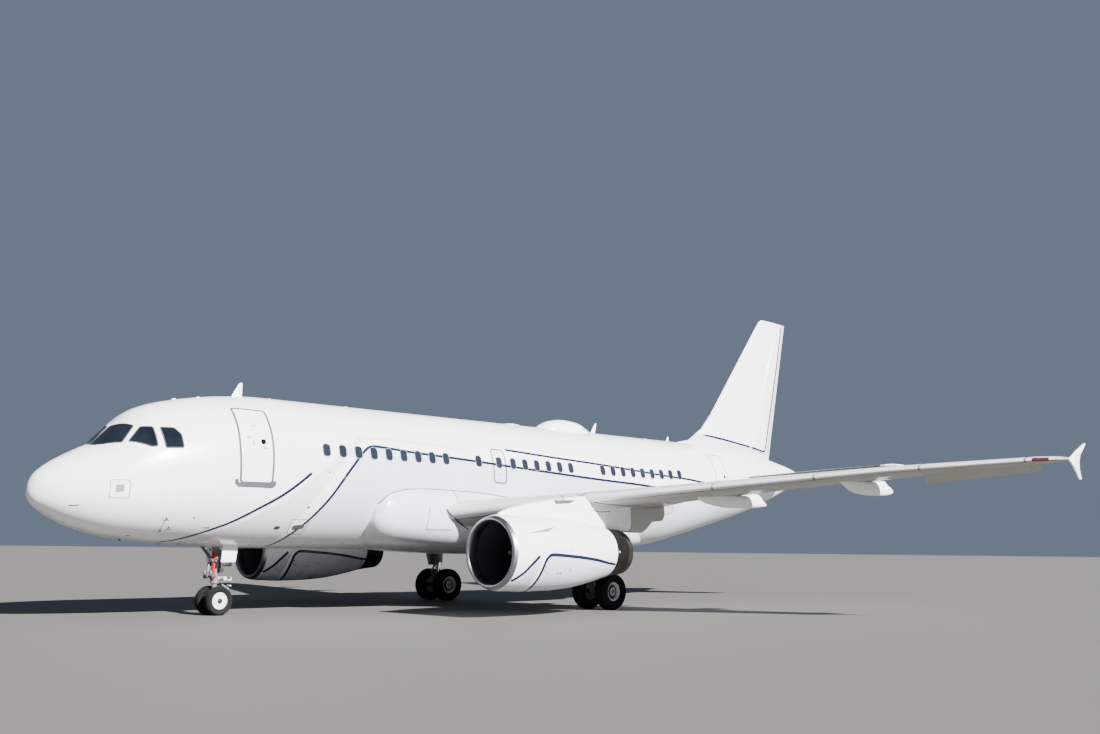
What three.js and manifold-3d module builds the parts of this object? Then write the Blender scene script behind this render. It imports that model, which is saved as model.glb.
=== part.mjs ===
// Twin-engine narrow-body airliner, standing parked on its wheels. Millimetres.
// +X is the aircraft's left (port) side, the nose points along -Y, +Z is up.
// Inside the airframe a place is given as x (to port), station (aft of the nose tip)
// and height (above the ground line of the level aircraft).
import * as THREE from 'three';
import { mergeVertices } from 'three/addons/utils/BufferGeometryUtils.js';
import Module from 'manifold-3d';

const wasm = await Module();
wasm.setup();

// Attitude and gaps
const NOSE_DOWN = THREE.MathUtils.degToRad(0.447); // the parked aircraft stands this much nose down
const PIVOT = 16110; // station of the main wheels, about which the airframe is tilted
const SEAT = 0.3; // gap between pieces that touch
const RUNNING = 6; // gap round pieces that move
const BEARING = 0.9; // gap between an axle and its bore
const HINGE_PIN = { radius: 20, root: 120, reach: 60, sides: 12 }; // pins that carry the control surfaces

// Fuselage
const HALF_WIDTH = 1975;
const CROWN = 5940;
const KEEL = 1830;
const MIDDLE = 3870;
const FLAT_SHARE = 0.048; // straight part of the side, as a share of the half width
const RING_POINTS = 32;
const RADOME_END = 760;
const FORWARD_END = 8050;
const CENTRE_END = 20900;
const AFT_END = 31750;
const TAIL_END = 33840;

// Each section: station, half width, top, bottom, height of the widest point
const BODY = [
  [0, 0, 3185, 3185, 3185],
  [30, 170, 3370, 3025, 3190],
  [120, 345, 3560, 2880, 3200],
  [300, 570, 3740, 2735, 3225],
  [760, 920, 4045, 2470, 3280],
  [1250, 1190, 4300, 2280, 3340],
  [1480, 1295, 4415, 2212, 3375],
  [1750, 1400, 4690, 2145, 3410],
  [2050, 1500, 4995, 2095, 3455],
  [2350, 1585, 5250, 2055, 3500],
  [2700, 1668, 5425, 2010, 3560],
  [3200, 1765, 5580, 1965, 3640],
  [3900, 1868, 5730, 1910, 3740],
  [4800, 1943, 5862, 1862, 3820],
  [6000, HALF_WIDTH, CROWN, KEEL, MIDDLE],
  [FORWARD_END, HALF_WIDTH, CROWN, KEEL, MIDDLE],
  [CENTRE_END, HALF_WIDTH, CROWN, KEEL, MIDDLE],
  [22400, 1972, 5940, 1940, 3900],
  [24300, 1905, 5938, 2280, 4080],
  [26200, 1745, 5920, 2680, 4300],
  [28000, 1490, 5865, 3055, 4480],
  [29800, 1130, 5750, 3480, 4640],
  [31000, 855, 5625, 3840, 4750],
  [AFT_END, 672, 5520, 4075, 4800],
  [32700, 450, 5370, 4380, 4880],
  [33400, 295, 5210, 4620, 4920],
  [TAIL_END, 215, 5105, 4745, 4930],
];
const PAD = { radius: 60, drop: 25, root: 60, sides: 16 }; // round jacking pads below the skin
const NOSE_PAD = { station: 3400, skin: 1950 };
const WING_PAD = { x: 7000, station: 15500, skin: 3198 };
const EXHAUST = { radius: 120, height: 4925, depth: 500, fall: 30 }; // auxiliary power unit outlet in the tail

// Belly fairing: station, half width, bottom, top
const BELLY = [
  [8900, 1840, 2350, 3150],
  [9000, 1950, 2150, 3450],
  [9200, 2060, 2000, 3700],
  [9600, 2140, 1880, 3850],
  [10300, 2200, 1800, 3950],
  [12000, 2240, 1690, 3870],
  [14000, 2250, 1650, 3750],
  [17200, 2240, 1650, 3570],
  [19000, 2080, 1690, 3300],
  [20400, 1750, 1780, 2800],
  [21300, 1200, 1900, 2400],
];
const BELLY_POWER = 2.7; // squareness of the fairing's sections
const BELLY_POINTS = 24;

// Blade antennas: station of the front of the foot, foot length, height, rake
const BLADES = {
  forward: [[5300, 305, 6315, 160]],
  aft: [[24340, 170, 6140, 90]],
  centre: [[19950, 235, 6335, 200]],
};
const BLADE = { base: CROWN - 60, spread: 20, footHalf: 22, tipHalf: 9, tipShare: 0.5 };

// Domed antenna cover on the crown: station, half width, top
const DOME = [
  [17150, 60, 5965], [17400, 300, 6090], [17800, 460, 6235], [18350, 520, 6305],
  [18950, 470, 6265], [19500, 300, 6110], [19940, 60, 5965],
];
const DOME_BASE = 5500;
const DOME_POWER = 2.2;
const DOME_POINTS = 24;

// Wing: x, leading edge station and height, trailing edge station and height, thickness share
const WING = [
  [900, 10523, 2770, 16965, 2480, 0.150],
  [2200, 11200, 2880, 17000, 2600, 0.148],
  [6400, 13386, 3300, 17150, 3270, 0.118],
  [9500, 15000, 3600, 18090, 3590, 0.112],
  [13100, 16874, 3950, 19195, 3905, 0.108],
  [16400, 18592, 4175, 20200, 4190, 0.106],
  [16800, 18890, 4195, 20240, 4210, 0.100],
  [17000, 19260, 4205, 20130, 4210, 0.075],
];
const CAMBER = 0.014;
// Control surfaces: inner and outer end, share of the chord at the hinge, and length of the cut behind it
const SPLIT_DEPTH = 400; // half depth of the blocks that cut them free
const AILERON = { inner: 13350, outer: 16180, share: 0.735, reach: 900, droop: 26 };

// Wing-tip fence, seen from the side: station and height round its outline
const FENCE_X = 17000 + SEAT;
const FENCE_THICKNESS = 50;
const FENCE = [
  [19200, 4200],
  [19480, 4300],
  [19780, 4440],
  [20380, 4672],
  [20500, 4668],
  [20060, 4345],
  [19960, 4150],
  [19960, 3950],
  [20070, 3712],
  [19915, 3706],
  [19560, 4020],
  [19380, 4120],
];

// Flap track fairings: rows of station, half width, bottom, and height of the top over the wing's chord line
const TRACK_POWER = 2.3;
const TRACK_POINTS = 12;
const TRACK_DEPTH = 40; // least depth of a fairing
const TRACKS = [
  {
    name: 'inner',
    x: 5450,
    rows: [
      [15230, 185, 2350, -20], [16000, 190, 2325, -20], [16200, 185, 2400, -20], [16600, 170, 2660, -20],
      [17080, 150, 2700, 70], [17160, 140, 2880, 90], [17500, 110, 2930, 150], [17760, 30, 3060, 100],
    ],
  },
  {
    name: 'middle',
    x: 8150,
    rows: [
      [15350, 20, 3330, -20], [15520, 75, 3238, -20], [15900, 115, 3137, -20], [16350, 145, 3085, -20],
      [16830, 158, 3050, -20], [17600, 165, 3062, -20], [18100, 155, 3075, 40], [18300, 148, 3085, 50],
      [18450, 132, 3098, 0], [18600, 110, 3115, -130], [18830, 40, 3150, -230],
    ],
  },
  {
    name: 'outer',
    x: 11750,
    rows: [
      [16980, 20, 3710, -20], [17150, 60, 3650, -20], [17340, 90, 3570, -20], [17600, 112, 3472, -20],
      [17930, 128, 3413, -20], [18540, 140, 3380, -20], [19000, 138, 3382, 10], [19400, 128, 3395, 30],
      [19520, 120, 3405, -50], [19750, 90, 3435, -130], [19950, 30, 3480, -190],
    ],
  },
];

// Fin: height, leading edge station, trailing edge station, thickness share
const FIN = [
  [5100, 25590, 31370, 0.105],
  [6400, 26600, 31690, 0.105],
  [11450, 30830, 32942, 0.095],
  [11640, 31010, 32990, 0.085],
  [11720, 31180, 33010, 0.060],
];
// Dorsal fillet: station, half width, top
const DORSAL = [
  [24900, 20, 5945],
  [25800, 70, 6110],
  [26700, 120, 6640],
  [27300, 130, 7240],
];
const DORSAL_BASE = 5200;
const DORSAL_POWER = 2.4;
const DORSAL_POINTS = 16;
// Rudder: ends of its hinge line, radius of the fin's cove at both, length of the cut behind the hinge, fall
// of the lower edge for each unit aft, room under its lower front corner for the swing, and its round nose
const RUDDER = {
  low: [30010, 6020], high: [32640, 12200], lowRadius: 150, highRadius: 58, reach: 2200, fall: 0.15, room: 26,
  nose: { rise: 60, end: 700, topRadius: 66 },
};

// Tailplane: x, leading edge station, trailing edge station, thickness share
const TAILPLANE = [
  [250, 26854, 30503, 0.105],
  [1500, 27672, 30818, 0.105],
  [5950, 30587, 31939, 0.095],
  [6130, 30740, 31985, 0.080],
  [6225, 31000, 32008, 0.055],
];
const TAIL_HEIGHT = 4410;
const TAIL_RISE = 0.1144; // rise of the tailplane for each unit outwards
// The inner edge leans outwards by ease at the end of the cut, to swing clear of the body
const ELEVATOR = { inner: 1260, outer: 5900, share: 0.70, reach: 1300, ease: 120, inboardCut: 1500 };

// Engine: x, height of its axis, and profiles as station and radius
const ENGINE_X = 5750;
const ENGINE_HEIGHT = 1755;
const LIP_END = 9720;
const COWL_END = 13900;
const LATHE_STEPS = 24;
const LIP = [
  [9600, 868], [9615, 905], [9650, 933], [LIP_END, 962],
  [LIP_END, 822], [9650, 832], [9615, 848],
];
const COWL_OUTSIDE = [
  [LIP_END + SEAT, 962], [10150, 1004], [10800, 1030], [11600, 1022], [12400, 975], [13200, 862],
  [COWL_END, 722],
];
const COWL = [
  ...COWL_OUTSIDE, [COWL_END, 694], [12600, 762], [11300, 818], [LIP_END + SEAT, 822],
];
const NOZZLE = [
  [COWL_END + SEAT, 720], [14690, 622], [14690, 606], [COWL_END + SEAT, 692],
];
const CORE = [
  [11290, 0], [11290, 817.6], [11700, 800.4], [11700, 560], [13500, 500], [14560, 60], [14580, 0],
];
const FAN = {
  tip: 800, nose: 10300, front: 10620, back: 11060, root: 225,
  tipLength: 60, tipRadius: 85, // blunt tip of the spinner
  blades: 18, chord: 290, halfWidth: 11, sunk: 25, rootPitch: 6, tipPitch: 56,
};
// Shaft of the fan in its bore, and how far the shaft runs into the core
const FAN_SHAFT = { radius: 80, depth: 330, endGap: 30, root: 50, sides: 24 };

// Pylon: station, half width, bottom, top
const PYLON = [
  [9900, 40, 2600, 2790],
  [10300, 130, 2560, 2925],
  [11000, 195, 2500, 3075],
  [12200, 220, 2450, 3235],
  [13250, 220, 2350, 3330],
  [14300, 200, 2370, 3250],
  [15080, 150, 2370, 3240],
  [15200, 110, 2420, 3200],
];
const PYLON_POWER = 4;
const PYLON_POINTS = 12;
const NOZZLE_ROOM = SEAT + 4; // gap between the pylon and the nozzle

// Wheels. A tyre's rows are the share of the way from the rim to the tread, and the share of the half width;
// a wheel's are the share of the rim and the share of the half width, from its back to its face.
const WHEEL_STEPS = 20;
const RIM_LIP = 1.7; // the rim stands this much over its size, and the tyre starts this far off
const TYRE = [[0, -0.62], [0.5, -1], [0.9, -0.72], [1, -0.4], [1, 0.4], [0.9, 0.72], [0.5, 1], [0, 0.62]];
const WHEEL = {
  back: -0.55, edge: 0.62, face: [[0.88, 0.62], [0.78, 0.28], [0.36, 0.66]], axleShare: 0.33, axleEnd: 25,
};
const AXLE_STEPS = 24;
const MAIN_WHEEL = { x: 3795, station: 16118, radius: 550, width: 425, spacing: 927, rim: 262, bore: 66 };
const NOSE_WHEEL = { x: 0, station: 5046, radius: 378, width: 222, spacing: 500, rim: 232, bore: 42 };

// Main leg: radii of the cylinder and piston, and heights; the links' places are [height, aft], the stay's
// head is [x, station, height], and its lug is [start, end, radius, end radius]
const MAIN_LEG = {
  cylinder: 142, piston: 88, collar: 1330, top: 2900, overlap: 40,
  hub: { low: -110, high: 130, radius: 120 },
  links: { top: [1450, -60], knee: [1010, -330], foot: [610, -60], thick: 45, thin: 32 },
  stay: { height: 1720, head: [2350, 16000, 2560], radius: 62, lug: [20, 190, 95, 80] },
};
const MAIN_LEG_DOOR = {
  gap: 40, spread: 330, half: 14, low: [15810, 16330, 1230], high: [15560, 16560, 2850],
  arm: { height: 1750, radius: 36, start: -20, end: 150 },
};

// Nose leg: places are [height, aft], and the cross bars are [height, aft, half length, radius, sides]
const NOSE_LEG = {
  cylinder: 92, piston: 62, collar: 1010, top: 2100, bore: [990, 1300], pistonTop: 1290,
  drag: { foot: [1450, -40], head: [4480, 2050], radius: 42 },
  bars: [[1500, -40, 150, 34, 8], [1560, 0, 190, 60, 10], [1110, -120, 150, 24, 8]],
  lamp: { height: 1110, back: -90, front: -210, x: 150, backRadius: 60, frontRadius: 82, arm: [0, -140, 40] },
  hub: { low: -62, high: 80, radius: 74 },
  cuff: { depth: 90, radius: 105 },
  links: { top: [950, 80], knee: [760, 430], foot: [504, 40], topRadius: 30, kneeRadius: 24, footRadius: 34 },
};
const NOSE_DOOR = {
  x: 400, lean: 20, half: 12, top: [5030, 5480, 2000], bottom: [4990, 5420, 1470],
};
const TOW = { reach: 175, root: 30, low: 62, high: 112, half: 40 };
// Main gear bay doors, hinged along their inner edges; the outer edge's gap lets it swing past the skin
const BAY_DOOR = {
  front: 14950, rear: 17050, inner: 190, outer: 1500, outerGap: 22, thickness: 60, depth: 90, cutDepth: 600,
  hinge: { height: 1656.4, radius: 5.5, inset: 50, sides: 8 },
};

// Finishes
const FINISH = {
  paint: { color: 0xe9ebee, roughness: 0.32, metalness: 0.0 },
  wing: { color: 0xa9a7a3, roughness: 0.45, metalness: 0.1 },
  polished: { color: 0xc9cacb, roughness: 0.22, metalness: 1.0 },
  nozzle: { color: 0x5d564f, roughness: 0.45, metalness: 0.8 },
  duct: { color: 0x3a3b3d, roughness: 0.6, metalness: 0.4 },
  blade: { color: 0x54565a, roughness: 0.35, metalness: 0.8 },
  tyre: { color: 0x1d1d1f, roughness: 0.9, metalness: 0.0 },
  rim: { color: 0xdcdcda, roughness: 0.4, metalness: 0.3 },
  leg: { color: 0x9da0a2, roughness: 0.45, metalness: 0.4 },
};

const model = new THREE.Group();
const airframe = new THREE.Group();
airframe.rotation.x = NOSE_DOWN;
airframe.position.y = PIVOT;
model.add(airframe);

// Points and tables

function point(x, station, height) {
  return new THREE.Vector3(x, station - PIVOT, height);
}

// The airframe point that stands at a given ground station and true height.
function fromGround(x, station, height) {
  const along = station - PIVOT;
  const cos = Math.cos(NOSE_DOWN);
  const sin = Math.sin(NOSE_DOWN);
  return new THREE.Vector3(x, along * cos + height * sin, -along * sin + height * cos);
}

// A row of a table worked out between its rows, by the first column.
function rowAt(table, value) {
  const last = table.length - 1;
  let index = table.findIndex((row) => row[0] >= value);
  index = index < 0 ? last : Math.max(index, 1);
  const [low, high] = [table[index - 1], table[index]];
  const share = (value - low[0]) / (high[0] - low[0]);
  return low.map((entry, column) => entry + share * (high[column] - entry));
}

// Solids

// A closed body through rings of points; a ring of one point closes it to a tip. The quads that
// start at the ring positions in crossed are split along their other diagonal.
function loft(rings, crossed = []) {
  const positions = rings.flat().flatMap((p) => [p.x, p.y, p.z]);
  const starts = [];
  let total = 0;
  for (const ring of rings) {
    starts.push(total);
    total += ring.length;
  }
  const faces = [];
  for (let i = 0; i + 1 < rings.length; i += 1) {
    const [a, b] = [rings[i], rings[i + 1]];
    const count = Math.max(a.length, b.length);
    for (let j = 0; j < count; j += 1) {
      const k = (j + 1) % count;
      const corner = (ring, start, n) => start + (ring.length === 1 ? 0 : n);
      const quad = [
        corner(a, starts[i], j), corner(a, starts[i], k),
        corner(b, starts[i + 1], k), corner(b, starts[i + 1], j),
      ];
      if (crossed.includes(j)) {
        faces.push(quad[0], quad[1], quad[3], quad[1], quad[2], quad[3]);
        continue;
      }
      if (a.length > 1) faces.push(quad[0], quad[1], quad[2]);
      if (b.length > 1) faces.push(quad[0], quad[2], quad[3]);
    }
  }
  faces.push(...endFaces(rings[0], starts[0], false));
  faces.push(...endFaces(rings[rings.length - 1], starts[rings.length - 1], true));
  return solid(positions, faces);
}

// An end of a loft, closed by strips between opposite points of its ring.
function endFaces(ring, start, turned) {
  const faces = [];
  const count = ring.length;
  for (let i = 0; i < count / 2 - 1; i += 1) {
    const opposite = count - 1 - i;
    const strip = [i, i + 1, opposite, i + 1, opposite - 1, opposite];
    if (i + 1 === opposite - 1) strip.length = 3;
    for (let j = 0; j < strip.length; j += 3) {
      const corners = strip.slice(j, j + 3).map((n) => start + n);
      faces.push(...(turned ? corners : corners.reverse()));
    }
  }
  return faces;
}

// A manifold solid from positions and faces, turned so that its faces point out.
function solid(positions, faces) {
  let volume = 0;
  const corner = (n) => new THREE.Vector3().fromArray(positions, 3 * n);
  for (let i = 0; i < faces.length; i += 3) {
    volume += corner(faces[i]).dot(corner(faces[i + 1]).cross(corner(faces[i + 2])));
  }
  const triVerts = new Uint32Array(volume < 0 ? faces.slice().reverse() : faces);
  const vertProperties = new Float32Array(positions);
  return new wasm.Manifold(new wasm.Mesh({ numProp: 3, vertProperties, triVerts }));
}

// A three.js geometry as a manifold solid.
function fromGeometry(geometry) {
  const bare = geometry.clone();
  bare.deleteAttribute('normal');
  bare.deleteAttribute('uv');
  const merged = mergeVertices(bare, 0.001);
  return solid(Array.from(merged.attributes.position.array), Array.from(merged.index.array));
}

function toGeometry(body) {
  const mesh = body.getMesh();
  const geometry = new THREE.BufferGeometry();
  const { vertProperties, triVerts, numProp } = mesh;
  const positions = new Float32Array((vertProperties.length / numProp) * 3);
  for (let i = 0; i < positions.length / 3; i += 1) {
    for (let j = 0; j < 3; j += 1) positions[3 * i + j] = vertProperties[numProp * i + j];
  }
  geometry.setAttribute('position', new THREE.BufferAttribute(positions, 3));
  geometry.setIndex(new THREE.BufferAttribute(new Uint32Array(triVerts), 1));
  const flat = geometry.toNonIndexed();
  flat.computeVertexNormals();
  return flat;
}

// A ring of a rounded section across the aircraft.
function sectionRing(x, station, halfWidth, bottom, top, power = 2, points = RING_POINTS) {
  const middle = (bottom + top) / 2;
  const halfHeight = (top - bottom) / 2;
  const ring = [];
  for (let i = 0; i < points; i += 1) {
    const angle = (2 * Math.PI * (i + 0.5)) / points;
    const bulge = (value) => Math.sign(value) * Math.abs(value) ** (2 / power);
    ring.push(point(
      x + halfWidth * bulge(Math.sin(angle)), station, middle + halfHeight * bulge(Math.cos(angle))));
  }
  return ring;
}

// A fuselage section: two arcs with a short straight side between them.
function bodyRing(row, grow) {
  const [station, width, top, bottom, widest] = row;
  if (width === 0) return [point(0, station - grow, widest)];
  const flat = FLAT_SHARE * width;
  const ring = [];
  for (let i = 0; i < RING_POINTS; i += 1) {
    const angle = (2 * Math.PI * (i + 0.5)) / RING_POINTS;
    const up = Math.cos(angle);
    const reach = up > 0 ? top - widest - flat : widest - bottom - flat;
    const height = widest + Math.sign(up) * flat + up * (reach + grow);
    ring.push(point((width + grow) * Math.sin(angle), station, height));
  }
  return ring;
}

function fuselage(from, to, grow = 0) {
  const inner = BODY.filter((row) => row[0] > from && row[0] < to);
  const rows = [rowAt(BODY, from), ...inner, rowAt(BODY, to)];
  rows[0][0] = from === 0 ? 0 : from + SEAT / 2 - grow;
  rows[rows.length - 1][0] = to - SEAT / 2 + grow;
  return loft(rows.map((row) => bodyRing(row, grow)));
}

function belly(grow = 0) {
  return loft(BELLY.map(([station, width, low, high], i) => {
    const end = i === 0 ? -grow : i === BELLY.length - 1 ? grow : 0;
    return sectionRing(0, station + end, width + grow, low - grow, high + grow, BELLY_POWER, BELLY_POINTS);
  }));
}

// Half thickness of a wing section of unit chord and unit thickness, at a share of the chord.
function halfThickness(share) {
  const blunt = 1.4845 * Math.sqrt(share);
  const rest = share * (-0.63 + share * (-1.758 + share * (1.4215 - 0.5075 * share)));
  return Math.max(blunt + rest, 0.012);
}

const CHORD_SHARES = [1, 0.9, 0.75, 0.6, 0.42, 0.26, 0.13, 0.05, 0.012];

// Upper and lower points of a section, from the trailing edge round the nose and back.
function foil(from, to, thickness, camber, across, grow) {
  const chord = from.distanceTo(to);
  const ring = [];
  const place = (share, side) => {
    const rise = side * (halfThickness(share) * thickness * chord + grow);
    const bow = 4 * camber * chord * share * (1 - share);
    const base = from.clone().lerp(to, share);
    base.y += (share - 0.5) * 2 * grow;
    ring.push(base.addScaledVector(across, rise + bow));
  };
  CHORD_SHARES.forEach((share) => place(share, 1));
  ring.push(from.clone().add(new THREE.Vector3(0, -grow, 0)));
  CHORD_SHARES.slice().reverse().forEach((share) => place(share, -1));
  return ring;
}

const UP = new THREE.Vector3(0, 0, 1);
const PORT = new THREE.Vector3(1, 0, 0);

function wingSolid(side, grow = 0) {
  return loft(WING.map(([x, leS, leH, teS, teH, thickness], i) => {
    const end = i === WING.length - 1 ? grow : 0;
    const from = point(side * (x + end), leS, leH);
    const to = point(side * (x + end), teS, teH);
    return foil(from, to, thickness, CAMBER, UP, grow);
  }));
}

function tailSolid(side) {
  return loft(TAILPLANE.map(([x, leS, teS, thickness]) => {
    const height = TAIL_HEIGHT + TAIL_RISE * x;
    return foil(point(side * x, leS, height), point(side * x, teS, height), thickness, 0, UP, 0);
  }));
}

function finSolid() {
  const blade = loft(FIN.map(([height, leS, teS, thickness]) => (
    foil(point(0, leS, height), point(0, teS, height), thickness, 0, PORT, 0))));
  const fillet = loft(DORSAL.map(([station, width, top]) => (
    sectionRing(0, station, width, DORSAL_BASE, top, DORSAL_POWER, DORSAL_POINTS))));
  return blade.add(fillet);
}

// A block standing on a four-cornered plan: front inner, front outer, rear outer, rear inner.
function block(plan, across, half) {
  const ring = (way) => plan.map((p) => p.clone().addScaledVector(across, way * half));
  return loft([ring(-1), ring(1)]);
}

// A round bar between two points, with a radius at each end.
function bar(from, to, radius, endRadius = radius, sides = 14) {
  const geometry = new THREE.CylinderGeometry(endRadius, radius, from.distanceTo(to), sides);
  const along = to.clone().sub(from).normalize();
  geometry.applyQuaternion(new THREE.Quaternion().setFromUnitVectors(new THREE.Vector3(0, 1, 0), along));
  const middle = from.clone().lerp(to, 0.5);
  geometry.translate(middle.x, middle.y, middle.z);
  return fromGeometry(geometry);
}

function box(low, high) {
  const geometry = new THREE.BoxGeometry(high.x - low.x, high.y - low.y, high.z - low.z);
  geometry.translate((low.x + high.x) / 2, (low.y + high.y) / 2, (low.z + high.z) / 2);
  return fromGeometry(geometry);
}

// A profile of station and radius turned about an engine's axis.
function turned(side, profile, steps = LATHE_STEPS) {
  const closed = profile[0][1] === 0 ? profile : [...profile, profile[0]];
  const points = closed.map(([station, radius]) => new THREE.Vector2(radius, station));
  const geometry = new THREE.LatheGeometry(points, steps);
  geometry.translate(0, -PIVOT, 0);
  const body = fromGeometry(geometry);
  return body.translate([side * ENGINE_X, 0, ENGINE_HEIGHT]);
}

// A moving surface cut out of a fixed one along a hinge line, with a round nose on the line.
function split(body, plan, cut, across, noseFrom, noseTo, radii) {
  const nose = bar(noseFrom, noseTo, radii[0], radii[1]);
  return {
    fixed: body.subtract(block(cut, across, SPLIT_DEPTH)),
    moving: body.intersect(block(plan, across, SPLIT_DEPTH)).add(nose),
  };
}

// A pin on the fixed part that runs into a bore in the end of the moving one, across a gap.
function pinned({ fixed, moving }, end, inwards, gap) {
  const { radius, root, reach, sides } = HINGE_PIN;
  const step = (distance) => end.clone().addScaledVector(inwards, distance);
  const pin = bar(step(-root), step(gap + reach), radius, radius, sides);
  const bore = bar(end, step(gap + reach + radius), radius + BEARING, radius + BEARING, sides);
  return { fixed: fixed.add(pin), moving: moving.subtract(bore) };
}

function aileronSplit(body, side) {
  const { inner, outer, share, reach, droop } = AILERON;
  const hingeAt = (x) => {
    const [, leS, leH, teS, teH, thickness] = rowAt(WING, x);
    const place = point(side * x, leS, leH).lerp(point(side * x, teS, teH), share);
    const chord = teS - leS;
    place.z += 4 * CAMBER * chord * share * (1 - share);
    return { place, radius: halfThickness(share) * thickness * chord };
  };
  const [a, b] = [hingeAt(inner), hingeAt(outer)];
  const along = b.place.clone().sub(a.place).normalize();
  const aft = new THREE.Vector3(0, 1, 0).addScaledVector(along, -along.y).normalize();
  const across = new THREE.Vector3().crossVectors(aft, along).normalize();
  const step = (from, outwards, rearwards) => (
    from.clone().addScaledVector(along, outwards).addScaledVector(aft, rearwards));
  const g = RUNNING;
  const plan = [
    step(a.place, g, 0), step(b.place, -g, 0), step(b.place, -g, reach), step(a.place, g, reach)];
  const cut = [
    step(a.place, 0, -a.radius - g), step(b.place, 0, -b.radius - g),
    step(b.place, 0, reach), step(a.place, 0, reach)];
  let parts = split(body, plan, cut, across, step(a.place, g, 0), step(b.place, -g, 0), [a.radius, b.radius]);
  parts = pinned(parts, a.place, along, g);
  parts = pinned(parts, b.place, along.clone().negate(), g);
  const turn = new THREE.Matrix4().makeRotationAxis(along, -side * THREE.MathUtils.degToRad(droop));
  const about = new THREE.Matrix4().makeTranslation(a.place)
    .multiply(turn)
    .multiply(new THREE.Matrix4().makeTranslation(a.place.clone().negate()));
  return { fixed: parts.fixed, moving: parts.moving.transform(about.toArray()) };
}

function elevatorSplit(body, side) {
  const { inner, outer, share, reach, ease, inboardCut } = ELEVATOR;
  const hingeAt = (x) => {
    const [, leS, teS, thickness] = rowAt(TAILPLANE, x);
    const chord = teS - leS;
    return {
      place: point(side * x, leS + share * chord, TAIL_HEIGHT + TAIL_RISE * x),
      radius: halfThickness(share) * thickness * chord,
    };
  };
  const [a, b] = [hingeAt(inner), hingeAt(outer)];
  const along = b.place.clone().sub(a.place).normalize();
  const aft = new THREE.Vector3(0, 1, 0).addScaledVector(along, -along.y).normalize();
  const across = new THREE.Vector3().crossVectors(aft, along).normalize();
  const step = (from, outwards, rearwards) => (
    from.clone().addScaledVector(along, outwards).addScaledVector(aft, rearwards));
  const g = RUNNING;
  const plan = [
    step(a.place, g, 0), step(b.place, -g, 0), step(b.place, -g, reach), step(a.place, g + ease, reach)];
  const cut = [
    step(a.place, 0, -a.radius - g), step(b.place, 0, -b.radius - g),
    step(b.place, 0, reach), step(a.place, -inboardCut, reach)];
  const parts = split(body, plan, cut, across, step(a.place, g, 0), step(b.place, -g, 0), [a.radius, b.radius]);
  return pinned(pinned(parts, a.place, along, g), b.place, along.clone().negate(), g);
}

function rudderSplit(body) {
  const { low, high, lowRadius, highRadius, reach, fall, room, nose } = RUDDER;
  const [a, b] = [point(0, ...low), point(0, ...high)];
  const g = RUNNING;
  const foot = g + nose.rise;
  const along = b.clone().sub(a).normalize();
  const aft = new THREE.Vector3(0, along.z, -along.y);
  const step = (from, upwards, rearwards = 0) => (
    from.clone().addScaledVector(along, upwards).addScaledVector(aft, rearwards));
  const rear = point(0, low[0] + reach, low[1] - fall * reach);
  const plan = [step(a, g), b, step(b, 0, reach), step(rear, g)];
  const cut = [
    step(a, -room, -lowRadius - g), step(a, -room), rear, step(b, 0, reach), step(b, 0, -highRadius - g)];
  const parts = split(body, plan, cut, PORT, step(a, foot), step(b, -nose.end), [lowRadius, nose.topRadius]);
  return pinned(parts, a, along, foot);
}

// Named pieces

function add(name, body, finish, parent = airframe) {
  const geometry = toGeometry(body);
  const mesh = new THREE.Mesh(geometry, new THREE.MeshStandardMaterial(FINISH[finish]));
  mesh.name = name;
  parent.add(mesh);
  return mesh;
}

const SIDES = [['left', 1], ['right', -1]];

function antenna([station, foot, top, rake]) {
  const { base, spread, footHalf, tipHalf, tipShare } = BLADE;
  const ring = (height, start, length, half) => [
    point(half, start + length / 2, height), point(0, start, height),
    point(-half, start + length / 2, height), point(0, start + length, height)];
  return loft([
    ring(base, station - spread, foot + spread, footHalf),
    ring(top, station + rake, tipShare * foot, tipHalf)]);
}

function withAntennas(body, list) {
  return list.reduce((sum, row) => sum.add(antenna(row)), body);
}

function pad(x, station, skin) {
  const { radius, drop, root, sides } = PAD;
  return bar(point(x, station, skin + root), point(x, station, skin - drop), radius, radius, sides);
}

const forward = withAntennas(fuselage(RADOME_END, FORWARD_END), BLADES.forward)
  .add(pad(0, NOSE_PAD.station, NOSE_PAD.skin));
const centre = withAntennas(fuselage(FORWARD_END, CENTRE_END), BLADES.centre);
const aft = withAntennas(fuselage(CENTRE_END, AFT_END), BLADES.aft);
const grownBody = fuselage(6000, 24300, SEAT);
const grownAft = fuselage(CENTRE_END, 32700, SEAT);

add('radome', fuselage(0, RADOME_END), 'paint');
add('fuselage_forward', forward, 'paint');
add('fuselage_centre', centre, 'paint');
add('fuselage_aft', aft, 'paint');

function tailCone() {
  const { radius, height, depth, fall } = EXHAUST;
  const outward = point(0, TAIL_END + depth, height + fall);
  const inward = point(0, TAIL_END - depth, height - fall);
  return fuselage(AFT_END, TAIL_END).subtract(bar(inward, outward, radius));
}
add('tail_cone', tailCone(), 'paint');

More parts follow.
